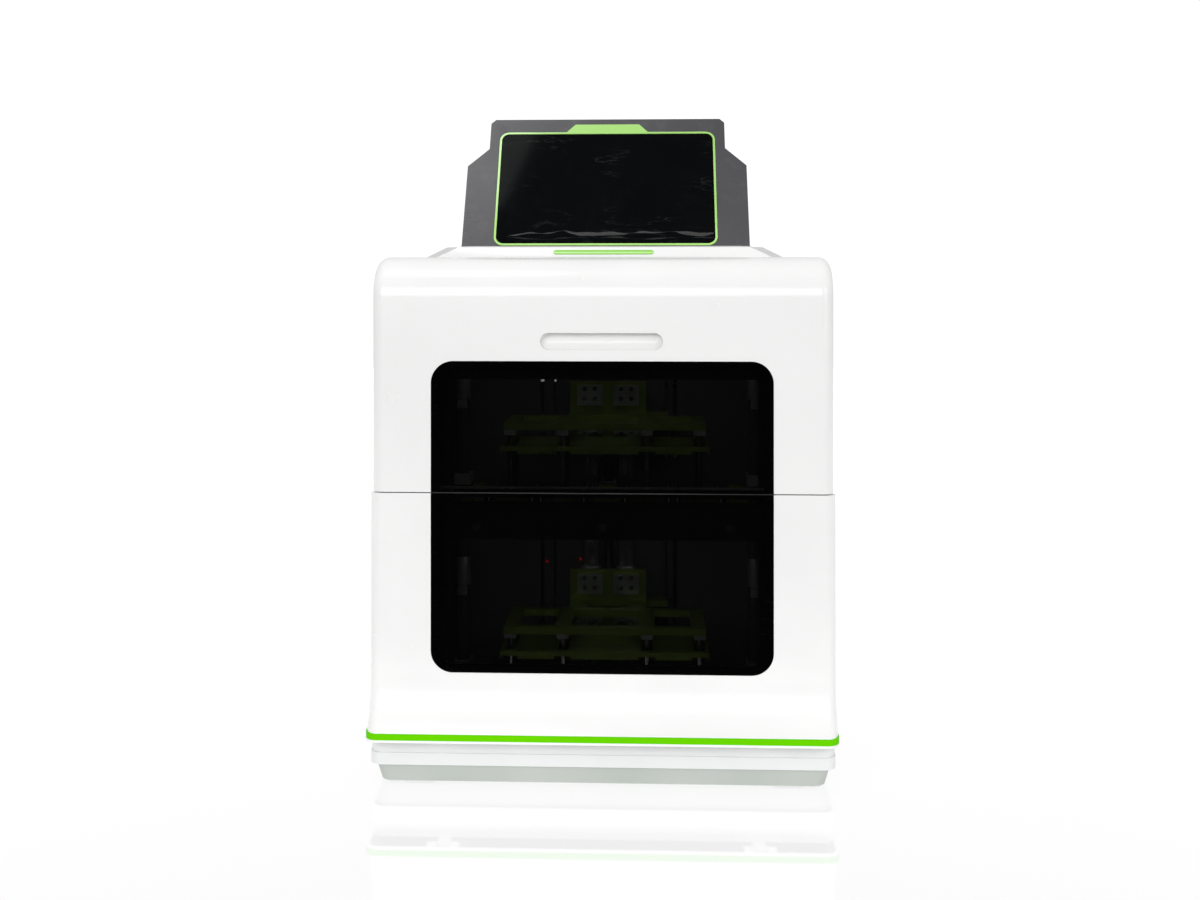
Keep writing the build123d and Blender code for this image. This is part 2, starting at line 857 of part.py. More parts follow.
# Hinge leaves under the top wall of the upper door, one knuckle each
leaf_end_y = upper_axis_y - leaf_reach
with BuildPart() as upper_hinge_leaves:
    for x in (-hinge_x, hinge_x):
        with BuildSketch(side_on(x - leaf_width / 2)):
            with Locations((upper_axis_y, upper_axis_z)):
                Circle(barrel_radius)
            with BuildLine():
                Polyline(
                    (upper_axis_y, roof_height - shell_wall),
                    (leaf_end_y, roof_height - shell_wall),
                    (leaf_end_y, roof_height - shell_wall - leaf_thickness),
                    (upper_axis_y, roof_height - shell_wall - leaf_thickness),
                    close=True,
                )
            make_face()
            with Locations((upper_axis_y, upper_axis_z)):
                Circle(pin_radius + pin_clearance, mode=Mode.SUBTRACT)
        extrude(amount=leaf_width)
upper_hinge_leaves.part.label = "upper_hinge_leaves"
export_step(upper_hinge_leaves.part, "parts/upper_hinge_leaves.step")

# Hinge brackets on the front wall of the roof cover, two knuckles to each leaf
with BuildPart() as hinge_brackets:
    bracket_reach = leaf_width / 2 + knuckle_gap
    for x in (-hinge_x, hinge_x):
        for start in (x - bracket_reach - knuckle_width, x + bracket_reach):
            with BuildSketch(side_on(start)):
                with Locations((upper_axis_y, upper_axis_z)):
                    Circle(barrel_radius)
                with BuildLine():
                    Polyline(
                        (upper_axis_y, upper_axis_z),
                        (roof_front_y, upper_axis_z),
                        (roof_front_y, skirt_z),
                        (roof_front_y - leaf_thickness, skirt_z),
                        (upper_axis_y, upper_axis_z - barrel_radius),
                        close=True,
                    )
                make_face()
                with Locations((upper_axis_y, upper_axis_z)):
                    Circle(pin_radius + pin_clearance, mode=Mode.SUBTRACT)
            extrude(amount=knuckle_width)
hinge_brackets.part.label = "hinge_brackets"
export_step(hinge_brackets.part, "parts/hinge_brackets.step")

# Hinge pins: two at the roof, two in the flared foot
with BuildPart() as hinge_pins:
    upper_pin = leaf_width + 2 * (knuckle_gap + knuckle_width)
    lower_pin = lug_width + 2 * (knuckle_gap + door_knuckle_width)
    for x in (-hinge_x, hinge_x):
        with Locations(across(upper_axis_y, upper_axis_z, x)):
            Cylinder(pin_radius, upper_pin)
    for x in (-lower_hinge_x, lower_hinge_x):
        with Locations(across(lower_axis_y, lower_axis_z, x)):
            Cylinder(pin_radius, lower_pin)
hinge_pins.part.label = "hinge_pins"
export_step(hinge_pins.part, "parts/hinge_pins.step")


# Lower door: a moulded shell that flares out to the lip
def foot_plan(z, inset, rear):
    """Plan of the lower casing at the lip, rounded at the front."""
    front = nose_y + inset
    with BuildSketch(at_height(z)) as plan:
        with Locations((0, (front + rear) / 2)):
            Rectangle(lower_width - 2 * inset, rear - front)
        fillet(plan.vertices().group_by(Axis.Y)[0], radius=corner_radius - inset)
    return plan.sketch


def strip_ring(proud):
    """The strip round the foot, from its groove out to a height above the casing."""
    with BuildPart() as ring:
        extrude(to_extrude=foot_plan(strip_z, -proud, return_y), amount=strip_height)
        inner = foot_plan(strip_z, strip_depth, return_y)
        extrude(to_extrude=inner, amount=strip_height, mode=Mode.SUBTRACT)
    return ring.part


with BuildPart() as lower_door_shell:
    with BuildSketch(side_on(-lower_half)):
        with BuildLine():
            Line((face_y, seam_low), (face_y, flare_top))
            TangentArc((face_y, flare_top), (nose_y, nose_top), tangent=(0, -1))
            Polyline(
                (nose_y, nose_top),
                (nose_y, lip_z),
                (return_y, lip_z),
                (return_y, seam_low),
                (face_y, seam_low),
            )
        make_face()
    extrude(amount=2 * lower_half)
    corner_edges = lower_door_shell.faces().filter_by(Axis.X).edges().filter_by(
        lambda edge: edge.center().Y < face_y + 1 and lip_z + 1 < edge.center().Z
    )
    fillet(corner_edges, radius=corner_radius)
    open_faces = lower_door_shell.faces().filter_by(
        lambda face: abs(face.center().Y - return_y) < 1 or abs(face.center().Z - lip_z) < 1
    )
    offset(amount=-shell_wall, openings=open_faces)
    ledge = window_outline(inner_face_y, window_bottom - 2 * pane_ledge, seam_low, pane_ledge * 0.75)
    extrude(to_extrude=ledge, amount=-(ledge_thickness + pane_setback))
    pocket = window_outline(face_y, window_bottom - 2 * pane_ledge, seam_low + 1, pane_gap)
    extrude(to_extrude=pocket, amount=-(pane_setback + pane_thickness), mode=Mode.SUBTRACT)
    view = window_outline(face_y, window_bottom - 2 * pane_ledge, seam_low - shell_wall, -pane_ledge)
    extrude(to_extrude=view, amount=-2 * (pane_thickness + ledge_thickness), mode=Mode.SUBTRACT)
    sill_room = 2 * (return_depth - sill_depth)
    with Locations((0, return_y, seam_low)):
        Box(2 * (lower_half - shell_wall), sill_room, 4 * shell_wall, mode=Mode.SUBTRACT)
    add(strip_ring(strip_depth), mode=Mode.SUBTRACT)
    # knuckles on gussets inside the foot, one on each side of a lug
    for x in (-lower_hinge_x, lower_hinge_x):
        reach = lug_width / 2 + knuckle_gap
        for start in (x - reach - door_knuckle_width, x + reach):
            with BuildSketch(side_on(start)):
                with Locations((lower_axis_y, lower_axis_z)):
                    Circle(barrel_radius)
                with BuildLine():
                    Polyline(
                        (lower_axis_y, lower_axis_z - barrel_radius),
                        (nose_y + shell_wall / 2, lip_z + 1),
                        (nose_y + shell_wall / 2, nose_top),
                        (lower_axis_y - shell_wall, nose_top + flare_height / 4),
                        (lower_axis_y + barrel_radius, lower_axis_z),
                        close=True,
                    )
                make_face()
                with Locations((lower_axis_y, lower_axis_z)):
                    Circle(pin_radius + pin_clearance, mode=Mode.SUBTRACT)
            extrude(amount=door_knuckle_width)
    # the top edge follows the hinge circle, so the door clears the upper one as it opens
    with Locations(across(lower_axis_y, lower_axis_z)):
        Cylinder(hinge_circle, 2 * lower_width, mode=Mode.INTERSECT)
lower_door_shell.part.label = "lower_door_shell"
export_step(lower_door_shell.part, "parts/lower_door_shell.step")

with BuildPart() as lower_window:
    extrude(to_extrude=window_outline(pane_front_y, window_bottom, seam_low, 0), amount=-pane_thickness)
    with Locations(across(lower_axis_y, lower_axis_z)):
        Cylinder(hinge_circle, 2 * lower_width, mode=Mode.INTERSECT)
lower_window.part.label = "lower_window"
export_step(lower_window.part, "parts/lower_window.step")

with BuildPart() as door_strip:
    add(strip_ring(strip_proud))
door_strip.part.label = "door_strip"
export_step(door_strip.part, "parts/door_strip.step")

# Inner front frame: a black sheet with two openings, their edges turned back
upper_opening = (upper_seat - upper_opening_drop, upper_seat + upper_opening_rise)
shelf_underside = upper_seat - shelf_drop - shelf_sheet
lower_opening = (lower_seat + lower_opening_rise, shelf_underside - beam_edge)
beam_screw_z = upper_seat - beam_screw_drop

with BuildPart() as front_frame:
    with BuildSketch(at_depth(frame_y)):
        with Locations((0, (frame_top + base_floor) / 2)):
            Rectangle(2 * frame_half, frame_top - base_floor)
    extrude(amount=-(frame_sheet + frame_flange))
    with BuildSketch(at_depth(frame_back_y)):
        with Locations((0, (frame_top + base_floor) / 2)):
            Rectangle(2 * (frame_half - frame_sheet), frame_top - base_floor - 2 * frame_sheet)
    extrude(amount=-frame_flange, mode=Mode.SUBTRACT)
    # top flange, which closes the groove of the hinge from below
    with BuildSketch(at_height(frame_top)):
        with Locations((0, frame_y + frame_top_reach / 2)):
            Rectangle(2 * frame_half, frame_top_reach)
    extrude(amount=-frame_sheet)
    for low, high in (lower_opening, upper_opening):
        with BuildSketch(at_depth(frame_back_y)):
            with Locations((0, (low + high) / 2)):
                Rectangle(2 * (opening_half + beam_edge), high - low + 2 * beam_edge)
        extrude(amount=-opening_flange)
        with BuildSketch(at_depth(frame_y)):
            with Locations((0, (low + high) / 2)):
                RectangleRounded(2 * opening_half, high - low, opening_radius)
        extrude(amount=-(frame_sheet + opening_flange), mode=Mode.SUBTRACT)
    with BuildSketch(at_depth(frame_y)):
        with Locations((-beam_screw_x, beam_screw_z), (0, beam_screw_z), (beam_screw_x, beam_screw_z)):
            Circle(screw_shank_radius + pin_clearance)
    extrude(amount=-frame_sheet, mode=Mode.SUBTRACT)
front_frame.part.label = "front_frame"
export_step(front_frame.part, "parts/front_frame.step")

# Pan-head screws on the middle beam
with BuildPart() as frame_screws:
    with BuildSketch(at_depth(frame_y)):
        with Locations((-beam_screw_x, beam_screw_z), (0, beam_screw_z), (beam_screw_x, beam_screw_z)):
            Circle(screw_head_radius)
    extrude(amount=screw_head_height)
    with BuildSketch(at_depth(frame_y)):
        with Locations((-beam_screw_x, beam_screw_z), (0, beam_screw_z), (beam_screw_x, beam_screw_z)):
            Circle(screw_shank_radius)
    extrude(amount=-screw_length)
frame_screws.part.label = "frame_screws"
export_step(frame_screws.part, "parts/frame_screws.step")

# Black liners at the sides of the chambers
with BuildPart() as side_liners:
    liner_z = base_floor + frame_sheet
    with BuildSketch(at_height(liner_z)):
        for side in (-1, 1):
            with Locations((side * (liner_x + liner_sheet / 2), (frame_back_y + wall_y) / 2)):
                Rectangle(liner_sheet, wall_y - frame_back_y)
    extrude(amount=frame_top - frame_sheet - panel_gap - liner_z)
side_liners.part.label = "side_liners"
export_step(side_liners.part, "parts/side_liners.step")

# Back wall, notched round the motors, with upright slots in each tier
with BuildPart() as back_wall:
    wall_top = frame_top - frame_sheet - panel_gap
    with BuildSketch(at_depth(wall_y)):
        with Locations((0, (wall_top + base_floor) / 2)):
            Rectangle(2 * (liner_x + liner_sheet), wall_top - base_floor)
        with Locations((0, base_floor + (motor_height + motor_notch) / 2)):
            Rectangle(motor_width + 2 * panel_gap, motor_height + motor_notch, mode=Mode.SUBTRACT)
        with Locations((0, (upper_motor_z + wall_top) / 2)):
            Rectangle(motor_width + 2 * panel_gap, wall_top - upper_motor_z, mode=Mode.SUBTRACT)
        for seat in seats.values():
            for x, width in slot_places:
                with Locations((x, seat + slot_rise + slot_length / 2)):
                    Rectangle(width, slot_length, mode=Mode.SUBTRACT)
    extrude(amount=-wall_sheet)
back_wall.part.label = "back_wall"
export_step(back_wall.part, "parts/back_wall.step")

# Shelves that carry the tray rails, one for each tier
with BuildPart() as tier_shelves:
    shelf_front = frame_back_y + frame_flange + shelf_gap
    for seat in seats.values():
        top = seat - shelf_drop
        with BuildSketch(at_height(top)):
            with Locations((0, shelf_front + shelf_depth / 2)):
                Rectangle(2 * liner_x, shelf_depth)
        extrude(amount=-shelf_sheet)
        with BuildSketch(at_height(top - shelf_sheet)):
            for side in (-1, 1):
                with Locations((side * (liner_x - shelf_sheet / 2), shelf_front + shelf_depth / 2)):
                    Rectangle(shelf_sheet, shelf_depth)
        extrude(amount=-shelf_foot)
tier_shelves.part.label = "tier_shelves"
export_step(tier_shelves.part, "parts/tier_shelves.step")

# Slide rails: two upright ones on the back wall, two under each tray
with BuildPart() as slide_rails:
    for side in (-1, 1):
        with BuildSketch(at_height(rail_bottom)):
            with Locations((side * rail_x, wall_y - rail_depth + rail_head / 2)):
                Rectangle(rail_width, rail_head)
            with Locations((side * rail_x, wall_y - rail_depth / 2)):
                Rectangle(rail_waist, rail_depth)
            with Locations((side * rail_x, wall_y - rail_foot / 2)):
                Rectangle(rail_width, rail_foot)
        extrude(amount=rail_top - rail_bottom)
    for seat in seats.values():
        with BuildSketch(at_height(seat - shelf_drop)):
            for side in (-1, 1):
                with Locations((0, plate_y + side * tray_rail_spacing / 2)):
                    Rectangle(tray_rail_length, tray_rail_width)
        extrude(amount=tray_rail_height)
slide_rails.part.label = "slide_rails"
export_step(slide_rails.part, "parts/slide_rails.step")

# Lift motors: one on the base for the lower tier, one under the roof for the upper tier
lead_y = wall_y - lead_reach
bearing_z = upper_seat - bearing_drop

with BuildPart() as lift_motors:
    for z in (base_floor, upper_motor_z):
        with BuildSketch(at_height(z)) as motor_plan:
            with Locations((0, lead_y)):
                Rectangle(motor_width, motor_width)
            chamfer(motor_plan.vertices(), length=motor_chamfer)
        extrude(amount=motor_height)
    with BuildSketch(at_height(base_floor + motor_height)):
        with Locations((0, lead_y)):
            Circle(lead_radius + lead_clearance)
    extrude(amount=-lead_seat, mode=Mode.SUBTRACT)
    with BuildSketch(at_height(upper_motor_z)):
        with Locations((0, lead_y)):
            Circle(lead_radius + lead_clearance)
    extrude(amount=lead_seat, mode=Mode.SUBTRACT)
lift_motors.part.label = "lift_motors"
export_step(lift_motors.part, "parts/lift_motors.step")

# Bearing block between the tiers, where both lead screws end
with BuildPart() as lift_bearings:
    with BuildSketch(at_height(bearing_z)):
        with Locations((0, wall_y - bearing_depth / 2)):
            Rectangle(nut_width, bearing_depth)
    extrude(amount=bearing_height)
    for z, way in ((bearing_z, 1), (bearing_z + bearing_height, -1)):
        with BuildSketch(at_height(z)):
            with Locations((0, lead_y)):
                Circle(lead_radius + lead_clearance)
        extrude(amount=way * lead_seat, mode=Mode.SUBTRACT)
lift_bearings.part.label = "lift_bearings"
export_step(lift_bearings.part, "parts/lift_bearings.step")

screw_spans = {
    "upper": (bearing_z + bearing_height - lead_seat + slide_gap, upper_motor_z + lead_seat - slide_gap),
    "lower": (base_floor + motor_height - lead_seat + slide_gap, bearing_z + lead_seat - slide_gap),
}

# Lamp sockets and upright tube lamps at both sides of the back wall
lamp_y = wall_y - lamp_reach
lamp_places = [(side * lamp_x, lamp_y) for side in (-1, 1)]

with BuildPart() as uv_lamps:
    for seat in seats.values():
        bottom = seat + lamp_rise - lamp_length / 2
        with BuildSketch(at_height(bottom)):
            with Locations(*lamp_places):
                Circle(lamp_radius)
        extrude(amount=lamp_length)
uv_lamps.part.label = "uv_lamps"
export_step(uv_lamps.part, "parts/uv_lamps.step")

with BuildPart() as lamp_sockets:
    for seat in seats.values():
        bottom = seat + lamp_rise - lamp_length / 2
        for end_z, way in ((bottom, 1), (bottom + lamp_length, -1)):
            with BuildSketch(at_height(end_z)):
                for x, y in lamp_places:
                    with Locations((x, (y - socket_width / 2 + wall_y) / 2)):
                        Rectangle(socket_width, wall_y - y + socket_width / 2)
            extrude(amount=-way * socket_height)
lamp_sockets.part.label = "lamp_sockets"
export_step(lamp_sockets.part, "parts/lamp_sockets.step")


# Moving parts of one tier. Carriages hold the rail head between two lips.
def bearing_carriage(x, z):
    """Plan of a carriage with its rail channel, as a sketch at its lower face."""
    back = wall_y - rail_foot - rail_gap
    front = wall_y - carriage_depth
    with BuildSketch(at_height(z)) as plan:
        with Locations((x, (front + back) / 2)):
            Rectangle(carriage_width, back - front)
        with Locations((x, wall_y - rail_depth + rail_head / 2)):
            Rectangle(rail_width + 2 * rail_gap, rail_head + 2 * rail_gap, mode=Mode.SUBTRACT)
        with Locations((x, wall_y - rail_depth / 2)):
            Rectangle(rail_waist + 2 * rail_gap, rail_depth, mode=Mode.SUBTRACT)
    return plan.sketch


flange_front_y = wall_y - carriage_depth - flange_thickness
jack_plan_y = wall_y - jack_reach
ear_width = jack_x + jack_width / 2 - flange_width / 2 + flange_thickness
ear_middle_x = jack_x + (jack_width - ear_width) / 2
ear_depth = jack_plan_y + jack_width / 2 - flange_front_y
ear_middle_y = flange_front_y + ear_depth / 2

for tier, seat in seats.items():
    comb_z = seat + comb_rise
    rod_plate_z = seat + rod_plate_rise
    comb_flange_z = comb_z - comb_flange_drop
    comb_carriage_z = comb_z - comb_carriage_drop
    rod_carriage_z = rod_plate_z + rod_carriage_rise
    comb_back_y = plate_y + comb_depth / 2
    rod_back_y = plate_y + rod_plate_depth / 2
    jack_z = comb_flange_z + flange_thickness
    plunger_z = rod_plate_z - plunger_length

    # Comb frame: slots for the rod rows, T-grooves that take the plastic tip combs
    with BuildPart() as comb_frame:
        with BuildSketch(at_height(comb_z)):
            with Locations((0, plate_y)):
                Rectangle(comb_width, comb_depth)
            for side in (-1, 1):
                with Locations((side * arm_x, (comb_back_y + flange_front_y) / 2)):
                    Rectangle(arm_width, flange_front_y - comb_back_y)
        extrude(amount=comb_thickness)
        with BuildSketch(at_height(comb_z)):
            for x in row_places:
                with Locations((x, plate_y)):
                    Rectangle(comb_slot_width, comb_slot_length)
        extrude(amount=comb_thickness, mode=Mode.SUBTRACT)
        with BuildSketch(at_height(comb_z)):
            for x in row_places:
                with Locations((x, plate_y - (comb_depth - comb_slot_length) / 4)):
                    Rectangle(notch_width, (comb_depth + comb_slot_length) / 2)
        extrude(amount=notch_height, mode=Mode.SUBTRACT)
        with BuildSketch(at_depth(flange_front_y + flange_thickness)):
            with Locations((0, comb_flange_z + comb_flange_height / 2)):
                Rectangle(flange_width, comb_flange_height)
        extrude(amount=flange_thickness)
        # ear behind the flange that carries the rod motor
        with BuildSketch(at_height(comb_flange_z)):
            with Locations((ear_middle_x, ear_middle_y)):
                Rectangle(ear_width, ear_depth)
            with Locations((jack_x, jack_plan_y)):
                Circle(plunger_radius + plunger_clearance, mode=Mode.SUBTRACT)
        extrude(amount=flange_thickness)
    comb_frame.part.label = f"{tier}_comb_frame"
    export_step(comb_frame.part, f"parts/{tier}_comb_frame.step")

    # Comb carriages, clamp blocks and the nut of the lead screw
    with BuildPart() as comb_carriages:
        for side in (-1, 1):
            extrude(to_extrude=bearing_carriage(side * rail_x, comb_carriage_z), amount=carriage_height)
        with BuildSketch(at_depth(flange_front_y)):
            for side in (-1, 1):
                with Locations((side * clamp_x, comb_z + comb_thickness + clamp_height / 4)):
                    Rectangle(clamp_width, clamp_height / 2)
        extrude(amount=clamp_depth)
        with BuildSketch(at_height(comb_z + nut_rise)):
            with Locations((0, wall_y - carriage_depth + nut_depth / 2)):
                Rectangle(nut_width, nut_depth)
            with Locations((0, lead_y)):
                Circle(lead_radius + lead_clearance, mode=Mode.SUBTRACT)
        extrude(amount=nut_height)
    comb_carriages.part.label = f"{tier}_comb_carriages"
    export_step(comb_carriages.part, f"parts/{tier}_comb_carriages.step")

    # Rod motor, a captive linear stepper on the ear of the comb frame
    with BuildPart() as rod_motor:
        with BuildSketch(at_height(jack_z)) as jack_plan:
            with Locations((jack_x, jack_plan_y)):
                Rectangle(jack_width, jack_width)
            chamfer(jack_plan.vertices(), length=motor_chamfer / 2)
            with Locations((jack_x, jack_plan_y)):
                Circle(plunger_radius + plunger_clearance, mode=Mode.SUBTRACT)
        extrude(amount=jack_height - flange_thickness)
    rod_motor.part.label = f"{tier}_rod_motor"
    export_step(rod_motor.part, f"parts/{tier}_rod_motor.step")

    # Rod frame: an open plate on arms, with a flange and an ear for the plunger
    with BuildPart() as rod_frame:
        with BuildSketch(at_height(rod_plate_z)):
            with Locations((0, plate_y)):
                Rectangle(rod_plate_width, rod_plate_depth)
            window_depth = rod_plate_depth - 2 * rod_rail
            for left, right in zip(row_places, row_places[1:]):
                with Locations(((left + right) / 2, plate_y)):
                    Rectangle(right - left - holder_width - 2 * rod_web, window_depth, mode=Mode.SUBTRACT)
            for side in (-1, 1):
                with Locations((side * arm_x, (rod_back_y + flange_front_y) / 2)):
                    Rectangle(arm_width, flange_front_y - rod_back_y)
        extrude(amount=rod_plate_thickness)
        with BuildSketch(at_depth(flange_front_y + flange_thickness)):
            with Locations((0, rod_plate_z + rod_flange_height / 2)):
                Rectangle(flange_width, rod_flange_height)
        extrude(amount=flange_thickness)
        with BuildSketch(at_height(rod_plate_z)):
            with Locations((ear_middle_x, ear_middle_y)):
                Rectangle(ear_width, ear_depth)
        extrude(amount=rod_plate_thickness)
    rod_frame.part.label = f"{tier}_rod_frame"
    export_step(rod_frame.part, f"parts/{tier}_rod_frame.step")

    # Rod carriages with their clamp blocks
    with BuildPart() as rod_carriages:
        for side in (-1, 1):
            extrude(to_extrude=bearing_carriage(side * rail_x, rod_carriage_z), amount=carriage_height)
        with BuildSketch(at_depth(flange_front_y)):
            for side in (-1, 1):
                with Locations((side * clamp_x, rod_carriage_z + carriage_height / 2)):
                    Rectangle(clamp_width, clamp_height)
        extrude(amount=clamp_depth)
    rod_carriages.part.label = f"{tier}_rod_carriages"
    export_step(rod_carriages.part, f"parts/{tier}_rod_carriages.step")

    # Plunger that the rod motor drives up and down
    with BuildPart() as rod_plunger:
        with BuildSketch(at_height(plunger_z)):
            with Locations((jack_x, jack_plan_y)):
                Circle(plunger_radius)
        extrude(amount=plunger_length)
    rod_plunger.part.label = f"{tier}_rod_plunger"
    export_step(rod_plunger.part, f"parts/{tier}_rod_plunger.step")

    # Holder bars under the rod frame, one for each row of rods
    with BuildPart() as rod_holders:
        with BuildSketch(at_height(rod_plate_z)):
            for x in row_places:
                with Locations((x, plate_y)):
                    Rectangle(holder_width, holder_length)
        extrude(amount=-holder_height)
    rod_holders.part.label = f"{tier}_rod_holders"
    export_step(rod_holders.part, f"parts/{tier}_rod_holders.step")

    # Magnet rods, eight to a row
    with BuildPart() as magnet_rods:
        with BuildSketch(at_height(rod_plate_z - holder_height)):
            for x in row_places:
                with Locations((x, plate_y)):
                    with GridLocations(well_pitch, well_pitch, 1, rods_per_row):
                        RegularPolygon(rod_radius, rod_sides)
        extrude(amount=-(rod_plate_rise - holder_height - rod_tip_rise))
    magnet_rods.part.label = f"{tier}_magnet_rods"
    export_step(magnet_rods.part, f"parts/{tier}_magnet_rods.step")

    # Tray: a plate on four feet that ride the tray rails, with corner locators
    with BuildPart() as tray_plate:
        tray_z = seat - tray_drop
        tray_depth = plate_width + 2 * tray_margin
        with BuildSketch(at_height(tray_z)):
            with Locations((0, plate_y)):
                Rectangle(tray_width, tray_depth)
        extrude(amount=tray_thickness)
        with BuildSketch(at_height(tray_z + tray_thickness)):
            for x, length in ((-locator_x, locator_end), (0, locator_length), (locator_x, locator_end)):
                for side in (-1, 1):
                    middle = side * (tray_depth - locator_depth) / 2
                    with Locations((x, plate_y + middle)):
                        Rectangle(length, locator_depth)
            with Locations((-module_pitch / 2, plate_y), (module_pitch / 2, plate_y)):
                Rectangle(plate_length + 2 * plate_gap, plate_width + 2 * plate_gap, mode=Mode.SUBTRACT)
        extrude(amount=plate_rest)
        with BuildSketch(at_height(tray_z)):
            with Locations((-module_pitch / 2, plate_y), (module_pitch / 2, plate_y)):
                Rectangle(tray_slot_width, tray_slot_length)
        extrude(amount=tray_thickness, mode=Mode.SUBTRACT)
        with BuildSketch(at_height(tray_z)):
            for x in (-tray_foot_x, tray_foot_x):
                for side in (-1, 1):
                    with Locations((x, plate_y + side * tray_rail_spacing / 2)):
                        Rectangle(tray_foot_length, tray_foot_width)
        extrude(amount=-(tray_foot_height + tray_foot_wrap))
        with BuildSketch(at_height(seat - rail_drop + slide_gap)):
            for side in (-1, 1):
                with Locations((0, plate_y + side * tray_rail_spacing / 2)):
                    Rectangle(tray_width, tray_rail_width + 2 * slide_gap)
        extrude(amount=-(tray_foot_wrap + slide_gap), mode=Mode.SUBTRACT)
    tray_plate.part.label = f"{tier}_tray_plate"
    export_step(tray_plate.part, f"parts/{tier}_tray_plate.step")

    # Heater bars under the first and last used column of each plate
    with BuildPart() as heater_bars:
        with BuildSketch(at_depth(plate_y - heater_length / 2)):
            for middle in (-module_pitch / 2, module_pitch / 2):
                for column in (-5.5, -0.5, 0.5, 5.5):
                    x = middle + column * well_pitch
                    with Locations((x, seat - plate_rest + heater_base / 2)):
                        Rectangle(heater_width, heater_base)
                    with Locations((x, seat - plate_rest / 2)):
                        Rectangle(heater_ridge, plate_rest)
        extrude(amount=-heater_length)
    heater_bars.part.label = f"{tier}_heater_bars"
    export_step(heater_bars.part, f"parts/{tier}_heater_bars.step")

    # Lead screw of this tier
    with BuildPart() as lead_screw:
        bottom, top = screw_spans[tier]
        with BuildSketch(at_height(bottom)):
            with Locations((0, lead_y)):
                Circle(lead_radius)
        extrude(amount=top - bottom)
    lead_screw.part.label = f"{tier}_lead_screw"
    export_step(lead_screw.part, f"parts/{tier}_lead_screw.step")

# Rear panel: fan grille, vents and the cut-outs of the inlet and the data sockets
fan_middle = (fan_x, fan_z)
port_places = [(board_x + step * port_spacing, port_z) for step in (-1, 0, 1)]

with BuildPart() as rear_panel:
    rear_top = roof_height - shell_wall - panel_gap
    with BuildSketch(at_depth(rear_y)) as rear_outline:
        with Locations((0, (rear_top + base_floor) / 2)):
            Rectangle(2 * (inner_half - panel_gap), rear_top - base_floor)
        fillet(rear_outline.vertices().group_by(Axis.Y)[-1], radius=corner_radius)
        with Locations((inlet_x, inlet_z)):
            Rectangle(inlet_body_width, inlet_body_height, mode=Mode.SUBTRACT)
        with Locations(*port_places):
            Rectangle(port_width + panel_gap, port_height + panel_gap, mode=Mode.SUBTRACT)
        with Locations((vent_x, vent_z)):
            with GridLocations(vent_pitch_x, vent_pitch_z, 2, 8):
                Rectangle(vent_width, vent_height, mode=Mode.SUBTRACT)
        with Locations(fan_middle):
            with PolarLocations((grille_inner + fan_tip) / 2, grille_slots):
                Rectangle(fan_tip - grille_inner, grille_slot, mode=Mode.SUBTRACT)
    extrude(amount=rear_sheet)
rear_panel.part.label = "rear_panel"
export_step(rear_panel.part, "parts/rear_panel.step")

# Fan: a square housing with struts, and its rotor
panel_front_y = rear_y - rear_sheet
stator_front_y = panel_front_y - fan_stator
rotor_back_y = stator_front_y - rotor_gap

with BuildPart() as fan_housing:
    with BuildSketch(at_depth(panel_front_y)):
        with Locations(fan_middle):
            RectangleRounded(fan_size, fan_size, fan_size / 2 - fan_bore)
            Circle(fan_bore, mode=Mode.SUBTRACT)
    extrude(amount=fan_depth)
    with BuildSketch(at_depth(panel_front_y)):
        with Locations(fan_middle):
            Circle(fan_hub)
            Rectangle(2 * fan_bore + strut_width / 2, strut_width)
            Rectangle(strut_width, 2 * fan_bore + strut_width / 2)
            Circle(fan_shaft + fan_clearance, mode=Mode.SUBTRACT)
    extrude(amount=fan_stator)
fan_housing.part.label = "fan_housing"
export_step(fan_housing.part, "parts/fan_housing.step")

with BuildPart() as fan_rotor:
    blade_length = fan_tip - fan_hub + 2 * rotor_gap
    blade_middle = (fan_tip + fan_hub) / 2
    for index in range(fan_blades):
        turn = Location((fan_x, rotor_back_y - fan_hub_depth / 2, fan_z), (0, index * 360 / fan_blades, 0))
        with Locations(turn * Location((blade_middle, 0, 0), (fan_blade_pitch, 0, 0))):
            Box(blade_length, fan_blade_chord, fan_blade_thickness)
    with Locations(along_y(fan_x, rotor_back_y - fan_hub_depth / 2, fan_z)):
        Cylinder(fan_tip, fan_depth, mode=Mode.INTERSECT)
        Cylinder(fan_hub, fan_hub_depth)
    with BuildSketch(at_depth(rotor_back_y)):
        with Locations(fan_middle):
            Circle(fan_shaft)
    extrude(amount=-(fan_stator + rotor_gap / 2))
fan_rotor.part.label = "fan_rotor"
export_step(fan_rotor.part, "parts/fan_rotor.step")

# Mains inlet with the well of its rocker switch
inlet_face_y = rear_y + inlet_flange
rocker_y = inlet_face_y - rocker_axis_depth
rocker_z = inlet_z + rocker_rise
socket_z = inlet_z - socket_drop

